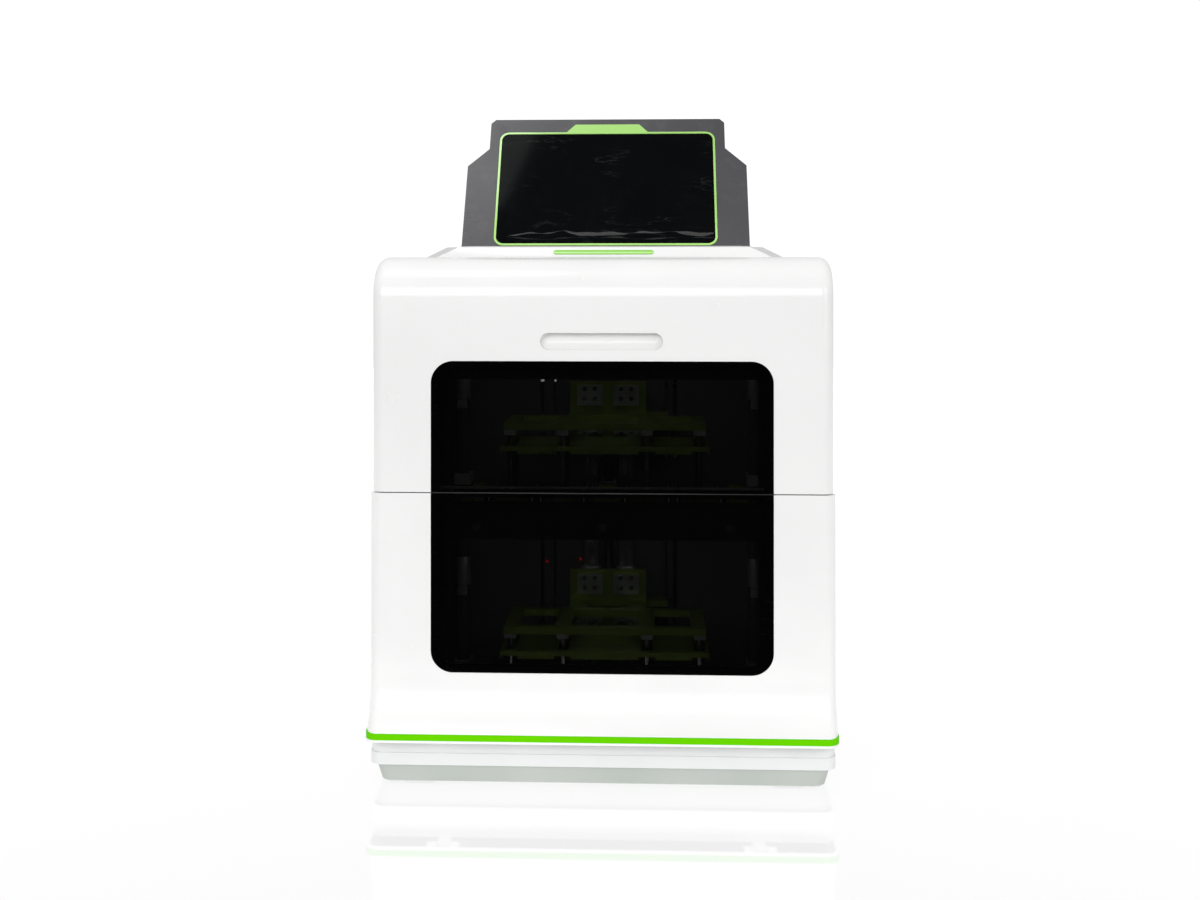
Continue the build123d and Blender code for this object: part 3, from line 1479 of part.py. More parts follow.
with BuildPart() as power_inlet:
    with BuildSketch(at_depth(rear_y)):
        with Locations((inlet_x, inlet_z)):
            RectangleRounded(inlet_width, inlet_height, rear_radius)
    extrude(amount=-inlet_flange)
    with BuildSketch(at_depth(rear_y)):
        with Locations((inlet_x, inlet_z)):
            Rectangle(inlet_body_width - panel_gap, inlet_body_height - panel_gap)
    extrude(amount=inlet_body_depth)
    with BuildSketch(at_depth(inlet_face_y)) as socket_mouth:
        with Locations((inlet_x, socket_z)):
            Rectangle(socket_recess_width, socket_recess_height)
        chamfer(socket_mouth.vertices().group_by(Axis.Y)[-1], length=socket_recess_height / 4)
    extrude(amount=socket_recess_depth, mode=Mode.SUBTRACT)
    with BuildSketch(at_depth(inlet_face_y - socket_recess_depth)):
        with Locations((inlet_x - prong_spacing, socket_z), (inlet_x + prong_spacing, socket_z)):
            Rectangle(prong_width, prong_height)
        with Locations((inlet_x, socket_z + prong_height / 2)):
            Rectangle(prong_width, prong_height)
    extrude(amount=-prong_length)
    with BuildSketch(at_depth(inlet_face_y)):
        with Locations((inlet_x, rocker_z)):
            Rectangle(rocker_width + 2 * rocker_gap, rocker_length + 4 * rocker_gap)
    extrude(amount=rocker_well, mode=Mode.SUBTRACT)
    trunnion_reach = rocker_width / 2 + rocker_gap + trunnion_length
    with Locations(across(rocker_y, rocker_z, inlet_x)):
        Cylinder(
            trunnion_radius + trunnion_clearance,
            2 * (trunnion_reach + trunnion_clearance),
            mode=Mode.SUBTRACT,
        )
power_inlet.part.label = "power_inlet"
export_step(power_inlet.part, "parts/power_inlet.step")

# Rocker switch, resting with its top pressed in
with BuildPart() as power_switch:
    with BuildSketch(side_on(inlet_x - rocker_width / 2)):
        with BuildLine():
            Polyline(
                (rocker_y + rocker_face, rocker_z + rocker_length / 2),
                (rocker_y + rocker_face - rocker_dish, rocker_z),
                (rocker_y + rocker_face, rocker_z - rocker_length / 2),
                (rocker_y, rocker_z - rocker_length / 2),
                (rocker_y - rocker_back, rocker_z - rocker_length / 4),
                (rocker_y - rocker_back, rocker_z + rocker_length / 4),
                (rocker_y, rocker_z + rocker_length / 2),
                close=True,
            )
        make_face()
    extrude(amount=rocker_width)
    with Locations(across(rocker_y, rocker_z, inlet_x)):
        Cylinder(trunnion_radius, 2 * trunnion_reach)
rocker_axis = Axis((inlet_x, rocker_y, rocker_z), (1, 0, 0))
rocker = power_switch.part.rotate(rocker_axis, rocker_tilt)
rocker.label = "power_switch"
export_step(rocker, "parts/power_switch.step")

# Control board on standoffs, its data sockets reaching through the rear panel
board_back_y = panel_front_y - board_standoff
with BuildPart() as control_board:
    with BuildSketch(at_depth(board_back_y)):
        with Locations((board_x, board_z)):
            Rectangle(board_width, board_height)
    extrude(amount=board_sheet)
    with BuildSketch(at_depth(board_back_y)):
        with Locations((board_x, board_z)):
            with GridLocations(board_width - 2 * board_standoff, board_height - 2 * board_standoff, 2, 2):
                Rectangle(board_standoff_width, board_standoff_width)
    extrude(amount=-board_standoff)
    with BuildSketch(at_depth(board_back_y)):
        with Locations(*port_places):
            Rectangle(port_width, port_height)
    extrude(amount=-(board_standoff + rear_sheet + port_reach))
    with BuildSketch(at_depth(rear_y + port_reach)):
        with Locations(*port_places):
            Rectangle(port_mouth, port_mouth - port_reach)
    extrude(amount=port_mouth_depth, mode=Mode.SUBTRACT)
    with BuildSketch(at_depth(board_back_y - board_sheet)):
        for x, z, width, height in board_chips:
            with Locations((board_x + x, board_z + z)):
                Rectangle(width, height)
    extrude(amount=board_chip_height)
control_board.part.label = "control_board"
export_step(control_board.part, "parts/control_board.step")

# Power supply on the floor of the base
with BuildPart() as power_supply:
    with BuildSketch(at_height(base_floor)):
        with Locations((supply_x, supply_y)):
            Rectangle(supply_width, supply_length)
    extrude(amount=supply_height)
    with BuildSketch(at_height(base_floor + supply_height)):
        with Locations((supply_x, supply_y)):
            with GridLocations(1, supply_slot_pitch, 1, supply_slots):
                Rectangle(supply_width / 2, supply_slot)
    extrude(amount=-supply_slot, mode=Mode.SUBTRACT)
power_supply.part.label = "power_supply"
export_step(power_supply.part, "parts/power_supply.step")
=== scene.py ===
import json
from math import cos, pi, radians, sin

import bmesh
import bpy
from mathutils import Matrix, Vector


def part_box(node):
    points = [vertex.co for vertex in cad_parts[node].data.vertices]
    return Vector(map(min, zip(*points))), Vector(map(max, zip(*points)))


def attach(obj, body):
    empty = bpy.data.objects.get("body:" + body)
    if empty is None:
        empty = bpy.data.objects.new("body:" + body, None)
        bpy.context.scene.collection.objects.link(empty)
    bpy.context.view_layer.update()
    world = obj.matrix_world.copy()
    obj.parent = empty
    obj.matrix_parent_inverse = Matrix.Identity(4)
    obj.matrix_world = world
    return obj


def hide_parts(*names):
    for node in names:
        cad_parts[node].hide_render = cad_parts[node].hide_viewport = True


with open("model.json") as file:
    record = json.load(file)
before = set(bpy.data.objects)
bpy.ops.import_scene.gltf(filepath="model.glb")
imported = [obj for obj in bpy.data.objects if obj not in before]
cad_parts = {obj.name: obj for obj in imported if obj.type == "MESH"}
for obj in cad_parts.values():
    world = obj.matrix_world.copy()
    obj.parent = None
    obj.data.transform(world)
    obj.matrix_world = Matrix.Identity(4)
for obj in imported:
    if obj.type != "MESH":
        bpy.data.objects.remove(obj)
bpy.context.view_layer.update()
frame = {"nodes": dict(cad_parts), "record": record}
nodes = frame["nodes"]
mm = 0.001
print("frame loaded:", len(nodes), "nodes")


# the camera stands where the photograph was taken from
cameraFacts = {"place": (0.046, -1.467, 0.4805), "yaw": 2.19, "pitch": 0.0, "lens": 39.0, "shiftY": -0.1375}

cameraData = bpy.data.cameras.new("photoCamera")
cameraData.lens = cameraFacts["lens"]
cameraData.sensor_width = 36.0
cameraData.shift_y = cameraFacts["shiftY"]
cameraData.clip_start = 0.01
photoCamera = bpy.data.objects.new("photoCamera", cameraData)
bpy.context.scene.collection.objects.link(photoCamera)
photoCamera.location = cameraFacts["place"]
photoCamera.rotation_euler = (
    radians(90 - cameraFacts["pitch"]), 0.0, radians(cameraFacts["yaw"]))
bpy.context.scene.camera = photoCamera
bpy.context.scene.view_settings.view_transform = "Standard"
bpy.context.scene.view_settings.look = "None"


# ---- node helpers
def addNode(tree, kind, **settings):
    node = tree.nodes.new(kind)
    for key, value in settings.items():
        setattr(node, key, value)
    return node


def connect(tree, source, target):
    tree.links.new(source, target)


def setInputs(node, values):
    for key, value in values.items():
        node.inputs[key].default_value = value


def newGroup(name, inputs, outputs):
    tree = bpy.data.node_groups.new(name, "ShaderNodeTree")
    for label, kind, value in inputs:
        socket = tree.interface.new_socket(name=label, in_out="INPUT", socket_type=kind)
        if value is not None:
            socket.default_value = value
    for label, kind in outputs:
        tree.interface.new_socket(name=label, in_out="OUTPUT", socket_type=kind)
    return tree, tree.nodes.new("NodeGroupInput"), tree.nodes.new("NodeGroupOutput")


def mathNode(tree, operation, first, second=None, clamp=False):
    node = addNode(tree, "ShaderNodeMath", operation=operation, use_clamp=clamp)
    for index, value in enumerate((first, second)):
        if value is None:
            continue
        if isinstance(value, (int, float)):
            node.inputs[index].default_value = value
        else:
            connect(tree, value, node.inputs[index])
    return node.outputs[0]


def noiseNode(tree, vector, scale, detail=3.0, roughness=0.5):
    node = addNode(tree, "ShaderNodeTexNoise")
    setInputs(node, {"Detail": detail, "Roughness": roughness})
    if isinstance(scale, (int, float)):
        node.inputs["Scale"].default_value = scale
    else:
        connect(tree, scale, node.inputs["Scale"])
    connect(tree, vector, node.inputs["Vector"])
    return node.outputs["Fac"]


def rangeNode(tree, value, low, high, newLow=0.0, newHigh=1.0):
    node = addNode(tree, "ShaderNodeMapRange", clamp=True)
    setInputs(node, {"From Min": low, "From Max": high})
    connect(tree, value, node.inputs["Value"])
    for key, limit in (("To Min", newLow), ("To Max", newHigh)):
        if isinstance(limit, (int, float)):
            node.inputs[key].default_value = limit
        else:
            connect(tree, limit, node.inputs[key])
    return node.outputs["Result"]


def blendColours(tree, factor, first, second, mode="MIX"):
    node = addNode(tree, "ShaderNodeMix", data_type="RGBA", blend_type=mode)
    for index, value in ((0, factor), (6, first), (7, second)):
        if hasattr(value, "is_linked"):
            connect(tree, value, node.inputs[index])
        else:
            node.inputs[index].default_value = value
    return node.outputs[2]


# ---- shared effects
def makePaintGroup():
    # moulded or painted skin: fine orange peel, slow tint drift, a breath of dust in patches
    tree, source, sink = newGroup(
        "mouldedSkin",
        [("Vector", "NodeSocketVector", None), ("Tint", "NodeSocketColor", None),
         ("Shade", "NodeSocketColor", None), ("Dust", "NodeSocketColor", None),
         ("Dust Amount", "NodeSocketFloat", 0.1), ("Grain Scale", "NodeSocketFloat", 900.0),
         ("Rough Low", "NodeSocketFloat", 0.3), ("Rough High", "NodeSocketFloat", 0.45)],
        [("Color", "NodeSocketColor"), ("Roughness", "NodeSocketFloat"), ("Height", "NodeSocketFloat")])
    vector = source.outputs["Vector"]
    drift = rangeNode(tree, noiseNode(tree, vector, 9.0, 2.0), 0.3, 0.7)
    cloud = rangeNode(tree, noiseNode(tree, vector, 46.0, 5.0, 0.62), 0.52, 0.78)
    grain = noiseNode(tree, vector, source.outputs["Grain Scale"], 2.0, 0.4)
    speck = rangeNode(tree, noiseNode(tree, vector, 2600.0, 1.0), 0.66, 0.8)
    spots = mathNode(tree, "ADD", cloud, speck, clamp=True)
    dust = mathNode(tree, "MULTIPLY", spots, source.outputs["Dust Amount"])
    base = blendColours(tree, drift, source.outputs["Tint"], source.outputs["Shade"])
    connect(tree, blendColours(tree, dust, base, source.outputs["Dust"]), sink.inputs["Color"])
    wiped = mathNode(tree, "ADD", mathNode(tree, "MULTIPLY", drift, 0.55),
                     mathNode(tree, "MULTIPLY", cloud, 0.45))
    connect(tree, rangeNode(tree, wiped, 0.0, 1.0, source.outputs["Rough Low"], source.outputs["Rough High"]),
            sink.inputs["Roughness"])
    connect(tree, grain, sink.inputs["Height"])
    return tree


def makeMetalGroup():
    # drawn, milled or anodised metal: fine lines along one axis, handling marks
    tree, source, sink = newGroup(
        "drawnMetal",
        [("Vector", "NodeSocketVector", None), ("Tint", "NodeSocketColor", None),
         ("Shade", "NodeSocketColor", None), ("Stretch", "NodeSocketVector", None),
         ("Rough Low", "NodeSocketFloat", 0.2), ("Rough High", "NodeSocketFloat", 0.4)],
        [("Color", "NodeSocketColor"), ("Roughness", "NodeSocketFloat"), ("Height", "NodeSocketFloat")])
    drawn = addNode(tree, "ShaderNodeVectorMath", operation="MULTIPLY")
    connect(tree, source.outputs["Vector"], drawn.inputs[0])
    connect(tree, source.outputs["Stretch"], drawn.inputs[1])
    lines = noiseNode(tree, drawn.outputs[0], 1.0, 3.0, 0.6)
    smudge = rangeNode(tree, noiseNode(tree, source.outputs["Vector"], 38.0, 4.0, 0.6), 0.35, 0.7)
    mixed = mathNode(tree, "ADD", mathNode(tree, "MULTIPLY", lines, 0.6),
                     mathNode(tree, "MULTIPLY", smudge, 0.4))
    finish = blendColours(tree, mixed, source.outputs["Shade"], source.outputs["Tint"])
    connect(tree, finish, sink.inputs["Color"])
    connect(tree, rangeNode(tree, mixed, 0.2, 0.8, source.outputs["Rough Low"], source.outputs["Rough High"]),
            sink.inputs["Roughness"])
    connect(tree, lines, sink.inputs["Height"])
    return tree


def makeScuffGroup():
    # short pale hairlines where hands and cloths rub
    tree, source, sink = newGroup(
        "scuffs", [("Vector", "NodeSocketVector", None), ("Amount", "NodeSocketFloat", 0.3)],
        [("Mask", "NodeSocketFloat")])
    total = None
    for turn, scale in ((0.4, 60.0), (-0.9, 90.0)):
        turned = addNode(tree, "ShaderNodeMapping")
        turned.inputs["Rotation"].default_value = (turn, turn * 1.3, turn)
        turned.inputs["Scale"].default_value = (1.0, 1.0, 26.0)
        connect(tree, source.outputs["Vector"], turned.inputs["Vector"])
        line = rangeNode(tree, noiseNode(tree, turned.outputs[0], scale, 2.0), 0.68, 0.74)
        total = line if total is None else mathNode(tree, "MAXIMUM", total, line)
    patch = rangeNode(tree, noiseNode(tree, source.outputs["Vector"], 14.0, 2.0), 0.5, 0.66)
    mask = mathNode(tree, "MULTIPLY", mathNode(tree, "MULTIPLY", total, patch), source.outputs["Amount"])
    connect(tree, mask, sink.inputs["Mask"])
    return tree


paintGroup = makePaintGroup()
metalGroup = makeMetalGroup()
scuffGroup = makeScuffGroup()


def placeGroup(tree, group, vector, values):
    node = addNode(tree, "ShaderNodeGroup", node_tree=group)
    connect(tree, vector, node.inputs["Vector"])
    setInputs(node, values)
    return node


def colour(red, green, blue):
    return (red, green, blue, 1.0)


def startMaterial(name):
    material = bpy.data.materials.new(name)
    material.use_nodes = True
    tree = material.node_tree
    shader = tree.nodes["Principled BSDF"]
    place = addNode(tree, "ShaderNodeTexCoord")
    return material, tree, shader, place.outputs["Object"]


def addBump(tree, shader, height, strength, distance):
    bump = addNode(tree, "ShaderNodeBump")
    setInputs(bump, {"Strength": strength, "Distance": distance})
    connect(tree, height, bump.inputs["Height"])
    connect(tree, bump.outputs["Normal"], shader.inputs["Normal"])


def paintMaterial(name, look):
    material, tree, shader, vector = startMaterial(name)
    skin = placeGroup(tree, paintGroup, vector, {
        "Tint": colour(*look["tint"]), "Shade": colour(*look["shade"]),
        "Dust": colour(*look.get("dust", (0.55, 0.54, 0.52))),
        "Dust Amount": look.get("dustAmount", 0.05), "Grain Scale": look.get("grain", 900.0),
        "Rough Low": look["rough"][0], "Rough High": look["rough"][1]})
    finish = skin.outputs["Color"]
    rough = skin.outputs["Roughness"]
    if look.get("scuffs"):
        scuff = placeGroup(tree, scuffGroup, vector, {"Amount": look["scuffs"]})
        finish = blendColours(tree, scuff.outputs["Mask"], finish, colour(*look["scuffTint"]))
        rubbed = mathNode(tree, "MULTIPLY", scuff.outputs["Mask"], 0.3)
        rough = mathNode(tree, "ADD", rough, rubbed, clamp=True)
    connect(tree, finish, shader.inputs["Base Color"])
    connect(tree, rough, shader.inputs["Roughness"])
    shader.inputs["Specular IOR Level"].default_value = look.get("specular", 0.5)
    shader.inputs["Coat Weight"].default_value = look.get("coat", 0.0)
    shader.inputs["Coat Roughness"].default_value = look.get("coatRough", 0.08)
    if look.get("glow"):
        connect(tree, finish, shader.inputs["Emission Color"])
        shader.inputs["Emission Strength"].default_value = look["glow"]
    addBump(tree, shader, skin.outputs["Height"], look.get("bump", 0.12), look.get("bumpDepth", 0.00008))
    return material


def metalMaterial(name, look):
    material, tree, shader, vector = startMaterial(name)
    drawn = placeGroup(tree, metalGroup, vector, {
        "Tint": colour(*look["tint"]), "Shade": colour(*look["shade"]), "Stretch": look["stretch"],
        "Rough Low": look["rough"][0], "Rough High": look["rough"][1]})
    scuff = placeGroup(tree, scuffGroup, vector, {"Amount": look.get("scuffs", 0.25)})
    finish = blendColours(tree, scuff.outputs["Mask"], drawn.outputs["Color"], colour(*look["scuffTint"]))
    connect(tree, finish, shader.inputs["Base Color"])
    connect(tree, drawn.outputs["Roughness"], shader.inputs["Roughness"])
    shader.inputs["Metallic"].default_value = look.get("metallic", 1.0)
    addBump(tree, shader, drawn.outputs["Height"], look.get("bump", 0.15), look.get("bumpDepth", 0.00005))
    return material


whitePaint = {"tint": (0.87, 0.874, 0.866), "shade": (0.835, 0.84, 0.832), "rough": (0.2, 0.3),
              "grain": 1100.0,
              "dustAmount": 0.03, "coat": 0.1, "coatRough": 0.08, "bump": 0.1, "scuffs": 0.06,
              "scuffTint": (0.62, 0.63, 0.64)}
sheetPaint = {"tint": (0.78, 0.79, 0.785), "shade": (0.74, 0.75, 0.75), "rough": (0.34, 0.46), "grain": 620.0,
              "dustAmount": 0.05, "bump": 0.3, "bumpDepth": 0.00015, "scuffs": 0.1,
              "scuffTint": (0.52, 0.53, 0.54)}
plinthPaint = {"tint": (0.495, 0.53, 0.49), "shade": (0.43, 0.47, 0.43), "rough": (0.42, 0.56),
               "grain": 620.0,
               "dustAmount": 0.12, "bump": 0.3, "bumpDepth": 0.00015}
footRubber = {"tint": (0.03, 0.03, 0.031), "shade": (0.02, 0.02, 0.02), "rough": (0.7, 0.85), "grain": 500.0,
              "dustAmount": 0.3, "bump": 0.4, "specular": 0.3}
stripPaint = {"tint": (0.135, 0.61, 0.0), "shade": (0.12, 0.56, 0.0), "rough": (0.34, 0.44), "grain": 900.0,
              "dustAmount": 0.002, "specular": 0.02}
limeGloss = {"tint": (0.41, 0.75, 0.19), "shade": (0.36, 0.68, 0.16), "rough": (0.16, 0.24), "grain": 700.0,
             "dustAmount": 0.02, "coat": 0.6}
screenGrey = {"tint": (0.066, 0.066, 0.071), "shade": (0.052, 0.052, 0.057), "rough": (0.26, 0.36),
              "grain": 1500.0,
              "dustAmount": 0.05, "bump": 0.35, "bumpDepth": 0.0001, "scuffs": 0.08,
              "scuffTint": (0.32, 0.32, 0.33)}
screenBlack = {"tint": (0.0018, 0.0024, 0.003), "shade": (0.0012, 0.0016, 0.002), "rough": (0.05, 0.1),
               "grain": 300.0,
               "dustAmount": 0.002, "specular": 0.03, "bump": 0.02}
blackSheet = {"tint": (0.012, 0.012, 0.013), "shade": (0.008, 0.008, 0.009), "rough": (0.4, 0.55),
              "grain": 700.0,
              "dustAmount": 0.03, "bump": 0.3}
wallPaint = {"tint": (0.15, 0.155, 0.158), "shade": (0.12, 0.125, 0.128), "rough": (0.45, 0.6),
             "grain": 620.0,
             "dustAmount": 0.05, "bump": 0.3}
heaterBlack = {"tint": (0.02, 0.02, 0.021), "shade": (0.014, 0.014, 0.015), "rough": (0.45, 0.6),
               "grain": 420.0,
               "dustAmount": 0.04, "bump": 0.35}
socketWhite = {"tint": (0.72, 0.72, 0.7), "shade": (0.64, 0.64, 0.61), "rough": (0.35, 0.5), "grain": 600.0,
               "dustAmount": 0.08}
motorBlack = {"tint": (0.018, 0.018, 0.02), "shade": (0.012, 0.012, 0.013), "rough": (0.36, 0.5),
              "grain": 700.0,
              "dustAmount": 0.08, "bump": 0.3}
boardGreen = {"tint": (0.012, 0.12, 0.03), "shade": (0.008, 0.085, 0.022), "rough": (0.28, 0.4),
              "grain": 260.0,
              "dustAmount": 0.08, "coat": 0.3, "bump": 0.4}
fittingBlack = {"tint": (0.016, 0.016, 0.017), "shade": (0.011, 0.011, 0.012), "rough": (0.34, 0.48),
                "grain": 1400.0,
                "dustAmount": 0.07, "bump": 0.35, "scuffs": 0.1, "scuffTint": (0.09, 0.09, 0.09)}
greenAnodised = {"tint": (0.36, 0.47, 0.09), "shade": (0.27, 0.37, 0.06), "stretch": (30.0, 900.0, 900.0),
                 "rough": (0.32, 0.46), "metallic": 0.55, "scuffTint": (0.55, 0.62, 0.32), "scuffs": 0.2}
bareAluminium = {"tint": (0.72, 0.73, 0.74), "shade": (0.55, 0.56, 0.58), "stretch": (40.0, 700.0, 1200.0),
                 "rough": (0.3, 0.44), "scuffTint": (0.86, 0.86, 0.87)}
railSteel = {"tint": (0.5, 0.51, 0.53), "shade": (0.36, 0.37, 0.39), "stretch": (1400.0, 1400.0, 20.0),
             "rough": (0.2, 0.34), "scuffTint": (0.7, 0.7, 0.72)}
rodSteel = {"tint": (0.56, 0.57, 0.59), "shade": (0.42, 0.43, 0.45), "stretch": (1600.0, 1600.0, 30.0),
            "rough": (0.14, 0.26), "scuffTint": (0.75, 0.75, 0.77)}
supplyCage = {"tint": (0.5, 0.51, 0.52), "shade": (0.38, 0.39, 0.4), "stretch": (40.0, 40.0, 300.0),
              "rough": (0.32, 0.5), "scuffTint": (0.7, 0.7, 0.7)}

finishes = {
    "casing_white": paintMaterial("casingWhite", whitePaint),
    "casing_sheet": paintMaterial("casingSheet", sheetPaint),
    "plinth_grey": paintMaterial("plinthGrey", plinthPaint),
    "foot_rubber": paintMaterial("footRubber", footRubber),
    "strip_green": paintMaterial("stripGreen", stripPaint),
    "lime_gloss": paintMaterial("limeGloss", limeGloss),
    "screen_grey": paintMaterial("screenGrey", screenGrey),
    "screen_black": paintMaterial("screenBlack", screenBlack),
    "black_sheet": paintMaterial("blackSheet", blackSheet),
    "wall_grey": paintMaterial("wallGrey", wallPaint),
    "heater_black": paintMaterial("heaterBlack", heaterBlack),
    "socket_white": paintMaterial("socketWhite", socketWhite),
    "motor_black": paintMaterial("motorBlack", motorBlack),
    "board_green": paintMaterial("boardGreen", boardGreen),
    "fitting_black": paintMaterial("fittingBlack", fittingBlack),
    "green_anodised": metalMaterial("greenAnodised", greenAnodised),
    "bare_aluminium": metalMaterial("bareAluminium", bareAluminium),
    "rail_steel": metalMaterial("railSteel", railSteel),
    "rod_steel": metalMaterial("rodSteel", rodSteel),
    "supply_cage": metalMaterial("supplyCage", supplyCage),
}


def roundedDistance(tree, vector, window):
    # metres inside the window's rounded outline, negative inside
    parts = addNode(tree, "ShaderNodeSeparateXYZ")
    connect(tree, vector, parts.inputs[0])
    radius = window["radius"] * mm
    halfWidth = window["width"] / 2 * mm - radius
    halfHeight = (window["top"] - window["bottom"]) / 2 * mm - radius
    middle = (window["top"] + window["bottom"]) / 2 * mm
    sideways = mathNode(tree, "SUBTRACT", mathNode(tree, "ABSOLUTE", parts.outputs["X"]), halfWidth)
    level = mathNode(tree, "ABSOLUTE", mathNode(tree, "SUBTRACT", parts.outputs["Z"], middle))
    upright = mathNode(tree, "SUBTRACT", level, halfHeight)
    outX = mathNode(tree, "MAXIMUM", sideways, 0.0)
    outZ = mathNode(tree, "MAXIMUM", upright, 0.0)
    corner = mathNode(tree, "SQRT", mathNode(
        tree, "ADD", mathNode(tree, "MULTIPLY", outX, outX), mathNode(tree, "MULTIPLY", outZ, outZ)))
    inner = mathNode(tree, "MINIMUM", mathNode(tree, "MAXIMUM", sideways, upright), 0.0)
    return mathNode(tree, "SUBTRACT", mathNode(tree, "ADD", corner, inner), radius)


window = {"width": 327.0, "bottom": 109.6, "top": 407.6, "radius": 21.0, "margin": 8.6, "seam": 281.5,
          "seamHalf": 3.9, "fade": 0.2}


def smokedMaterial(look):
    # smoked acrylic, printed black round its margin and along the seam, with haze, dust and hairlines
    material, tree, shader, vector = startMaterial("smokedGlass")
    scuff = placeGroup(tree, scuffGroup, vector, {"Amount": look["scuffs"]})
    haze = rangeNode(tree, noiseNode(tree, vector, 12.0, 3.0), 0.3, 0.75, *look["rough"])
    specks = rangeNode(tree, noiseNode(tree, vector, 420.0, 1.0), 0.73, 0.78)
    patch = rangeNode(tree, noiseNode(tree, vector, 10.0, 2.0), 0.48, 0.7)
    dusty = mathNode(tree, "MULTIPLY", specks, patch)
    marks = mathNode(tree, "MAXIMUM", scuff.outputs["Mask"], mathNode(tree, "MULTIPLY", dusty, look["dust"]))
    connect(tree, blendColours(tree, marks, colour(*look["tint"]), colour(0.16, 0.16, 0.16)),
            shader.inputs["Base Color"])
    connect(tree, haze, shader.inputs["Roughness"])
    edge = roundedDistance(tree, vector, window)
    fade = window["fade"] * mm
    start = -window["margin"] * mm
    margin = rangeNode(tree, edge, start - fade, start, look["alpha"], 1.0)
    height = addNode(tree, "ShaderNodeSeparateXYZ")
    connect(tree, vector, height.inputs[0])
    offSeam = mathNode(tree, "SUBTRACT", height.outputs["Z"], window["seam"] * mm)
    half = window["seamHalf"] * mm
    seam = rangeNode(tree, mathNode(tree, "ABSOLUTE", offSeam), half, half + fade, 1.0, look["alpha"])
    printed = mathNode(tree, "MAXIMUM", margin, seam)
    dust = mathNode(tree, "MULTIPLY", dusty, 0.9)
    connect(tree, mathNode(tree, "MAXIMUM", printed, dust), shader.inputs["Alpha"])
    shader.inputs["Specular IOR Level"].default_value = look["specular"]
    addBump(tree, shader, noiseNode(tree, vector, 5.0, 1.0), 0.04, 0.0004)
    return material


smokedGlass = {"tint": (0.0005, 0.0005, 0.0006), "alpha": 0.66, "rough": (0.03, 0.07), "scuffs": 0.08,
               "dust": 0.35, "specular": 0.025}


def quartzMaterial():
    material, tree, shader, vector = startMaterial("lampQuartz")
    fog = rangeNode(tree, noiseNode(tree, vector, 30.0, 3.0), 0.3, 0.7, 0.12, 0.26)
    connect(tree, blendColours(tree, fog, colour(0.2, 0.2, 0.21), colour(0.13, 0.135, 0.14)),
            shader.inputs["Base Color"])
    connect(tree, fog, shader.inputs["Roughness"])
    shader.inputs["Transmission Weight"].default_value = 0.35
    return material


finishes["smoked_glass"] = smokedMaterial(smokedGlass)
finishes["lamp_quartz"] = quartzMaterial()


def lightBarMaterial(look):
    # lime bar lit from behind, with a paler line along its middle
    material, tree, shader, vector = startMaterial("lightBarGlow")
    parts = addNode(tree, "ShaderNodeSeparateXYZ")
    connect(tree, vector, parts.inputs[0])
    low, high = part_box("light_bar")
    off = mathNode(tree, "ABSOLUTE", mathNode(tree, "SUBTRACT", parts.outputs["Z"], (low.z + high.z) / 2))
    fade = rangeNode(tree, off, look["coreHalf"], look["half"])
    speck = rangeNode(tree, noiseNode(tree, vector, 240.0, 2.0), 0.2, 0.8, 0.94, 1.0)
    glow = blendColours(tree, fade, colour(*look["core"]), colour(*look["edge"]))
    shade = blendColours(tree, 1.0, glow, speck, "MULTIPLY")
    connect(tree, shade, shader.inputs["Base Color"])
    connect(tree, shade, shader.inputs["Emission Color"])
    shader.inputs["Emission Strength"].default_value = look["strength"]
    shader.inputs["Roughness"].default_value = 0.25
    return material


lightBarLook = {"coreHalf": 0.0003, "half": 0.0011, "core": (0.5, 0.78, 0.3), "edge": (0.24, 0.58, 0.08),
                "strength": 0.12}
lightBarGlow = lightBarMaterial(lightBarLook)


def paintNode(name, material):
    for slot in nodes[name].material_slots:
        slot.material = material
    if not nodes[name].material_slots:
        nodes[name].data.materials.append(material)


slotOf = {part["node"]: part["material_slot"] for part in frame["record"]["subparts"]}
for nodeName, slotName in slotOf.items():
    paintNode(nodeName, finishes[slotName])
paintNode("light_bar", lightBarGlow)
bodyOf = {}
for bodyName, members in frame["record"]["behaviour"]["bodies"].items():
    for nodeName in members:
        bodyOf[nodeName] = bodyName
print("finishes made:", len(bpy.data.materials))


# ---- mesh helpers
def finishPiece(name, bm, body, slotName, material=None, sharpAngle=32.0, recalc=True):
    if recalc:
        bmesh.ops.remove_doubles(bm, verts=bm.verts, dist=1e-6)
        bmesh.ops.recalc_face_normals(bm, faces=bm.faces)
    mesh = bpy.data.meshes.new(name)
    bm.to_mesh(mesh)
    bm.free()
    mesh.shade_smooth()
    mesh.set_sharp_from_angle(angle=radians(sharpAngle))
    mesh.materials.append(material or finishes[slotName])
    piece = bpy.data.objects.new(name, mesh)
    bpy.context.scene.collection.objects.link(piece)
    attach(piece, body)
    return piece


def addBox(bm, middle, size, soften=0.0, segments=2):
    made = bmesh.ops.create_cube(bm, size=1.0)
    verts = made["verts"]
    bmesh.ops.scale(bm, vec=Vector(size), verts=verts)
    bmesh.ops.translate(bm, vec=Vector(middle), verts=verts)
    if soften:
        edges = list({edge for vert in verts for edge in vert.link_edges})
        bmesh.ops.bevel(bm, geom=edges, offset=soften, affect="EDGES", segments=segments, profile=0.5,
                        material=-1, clamp_overlap=True)


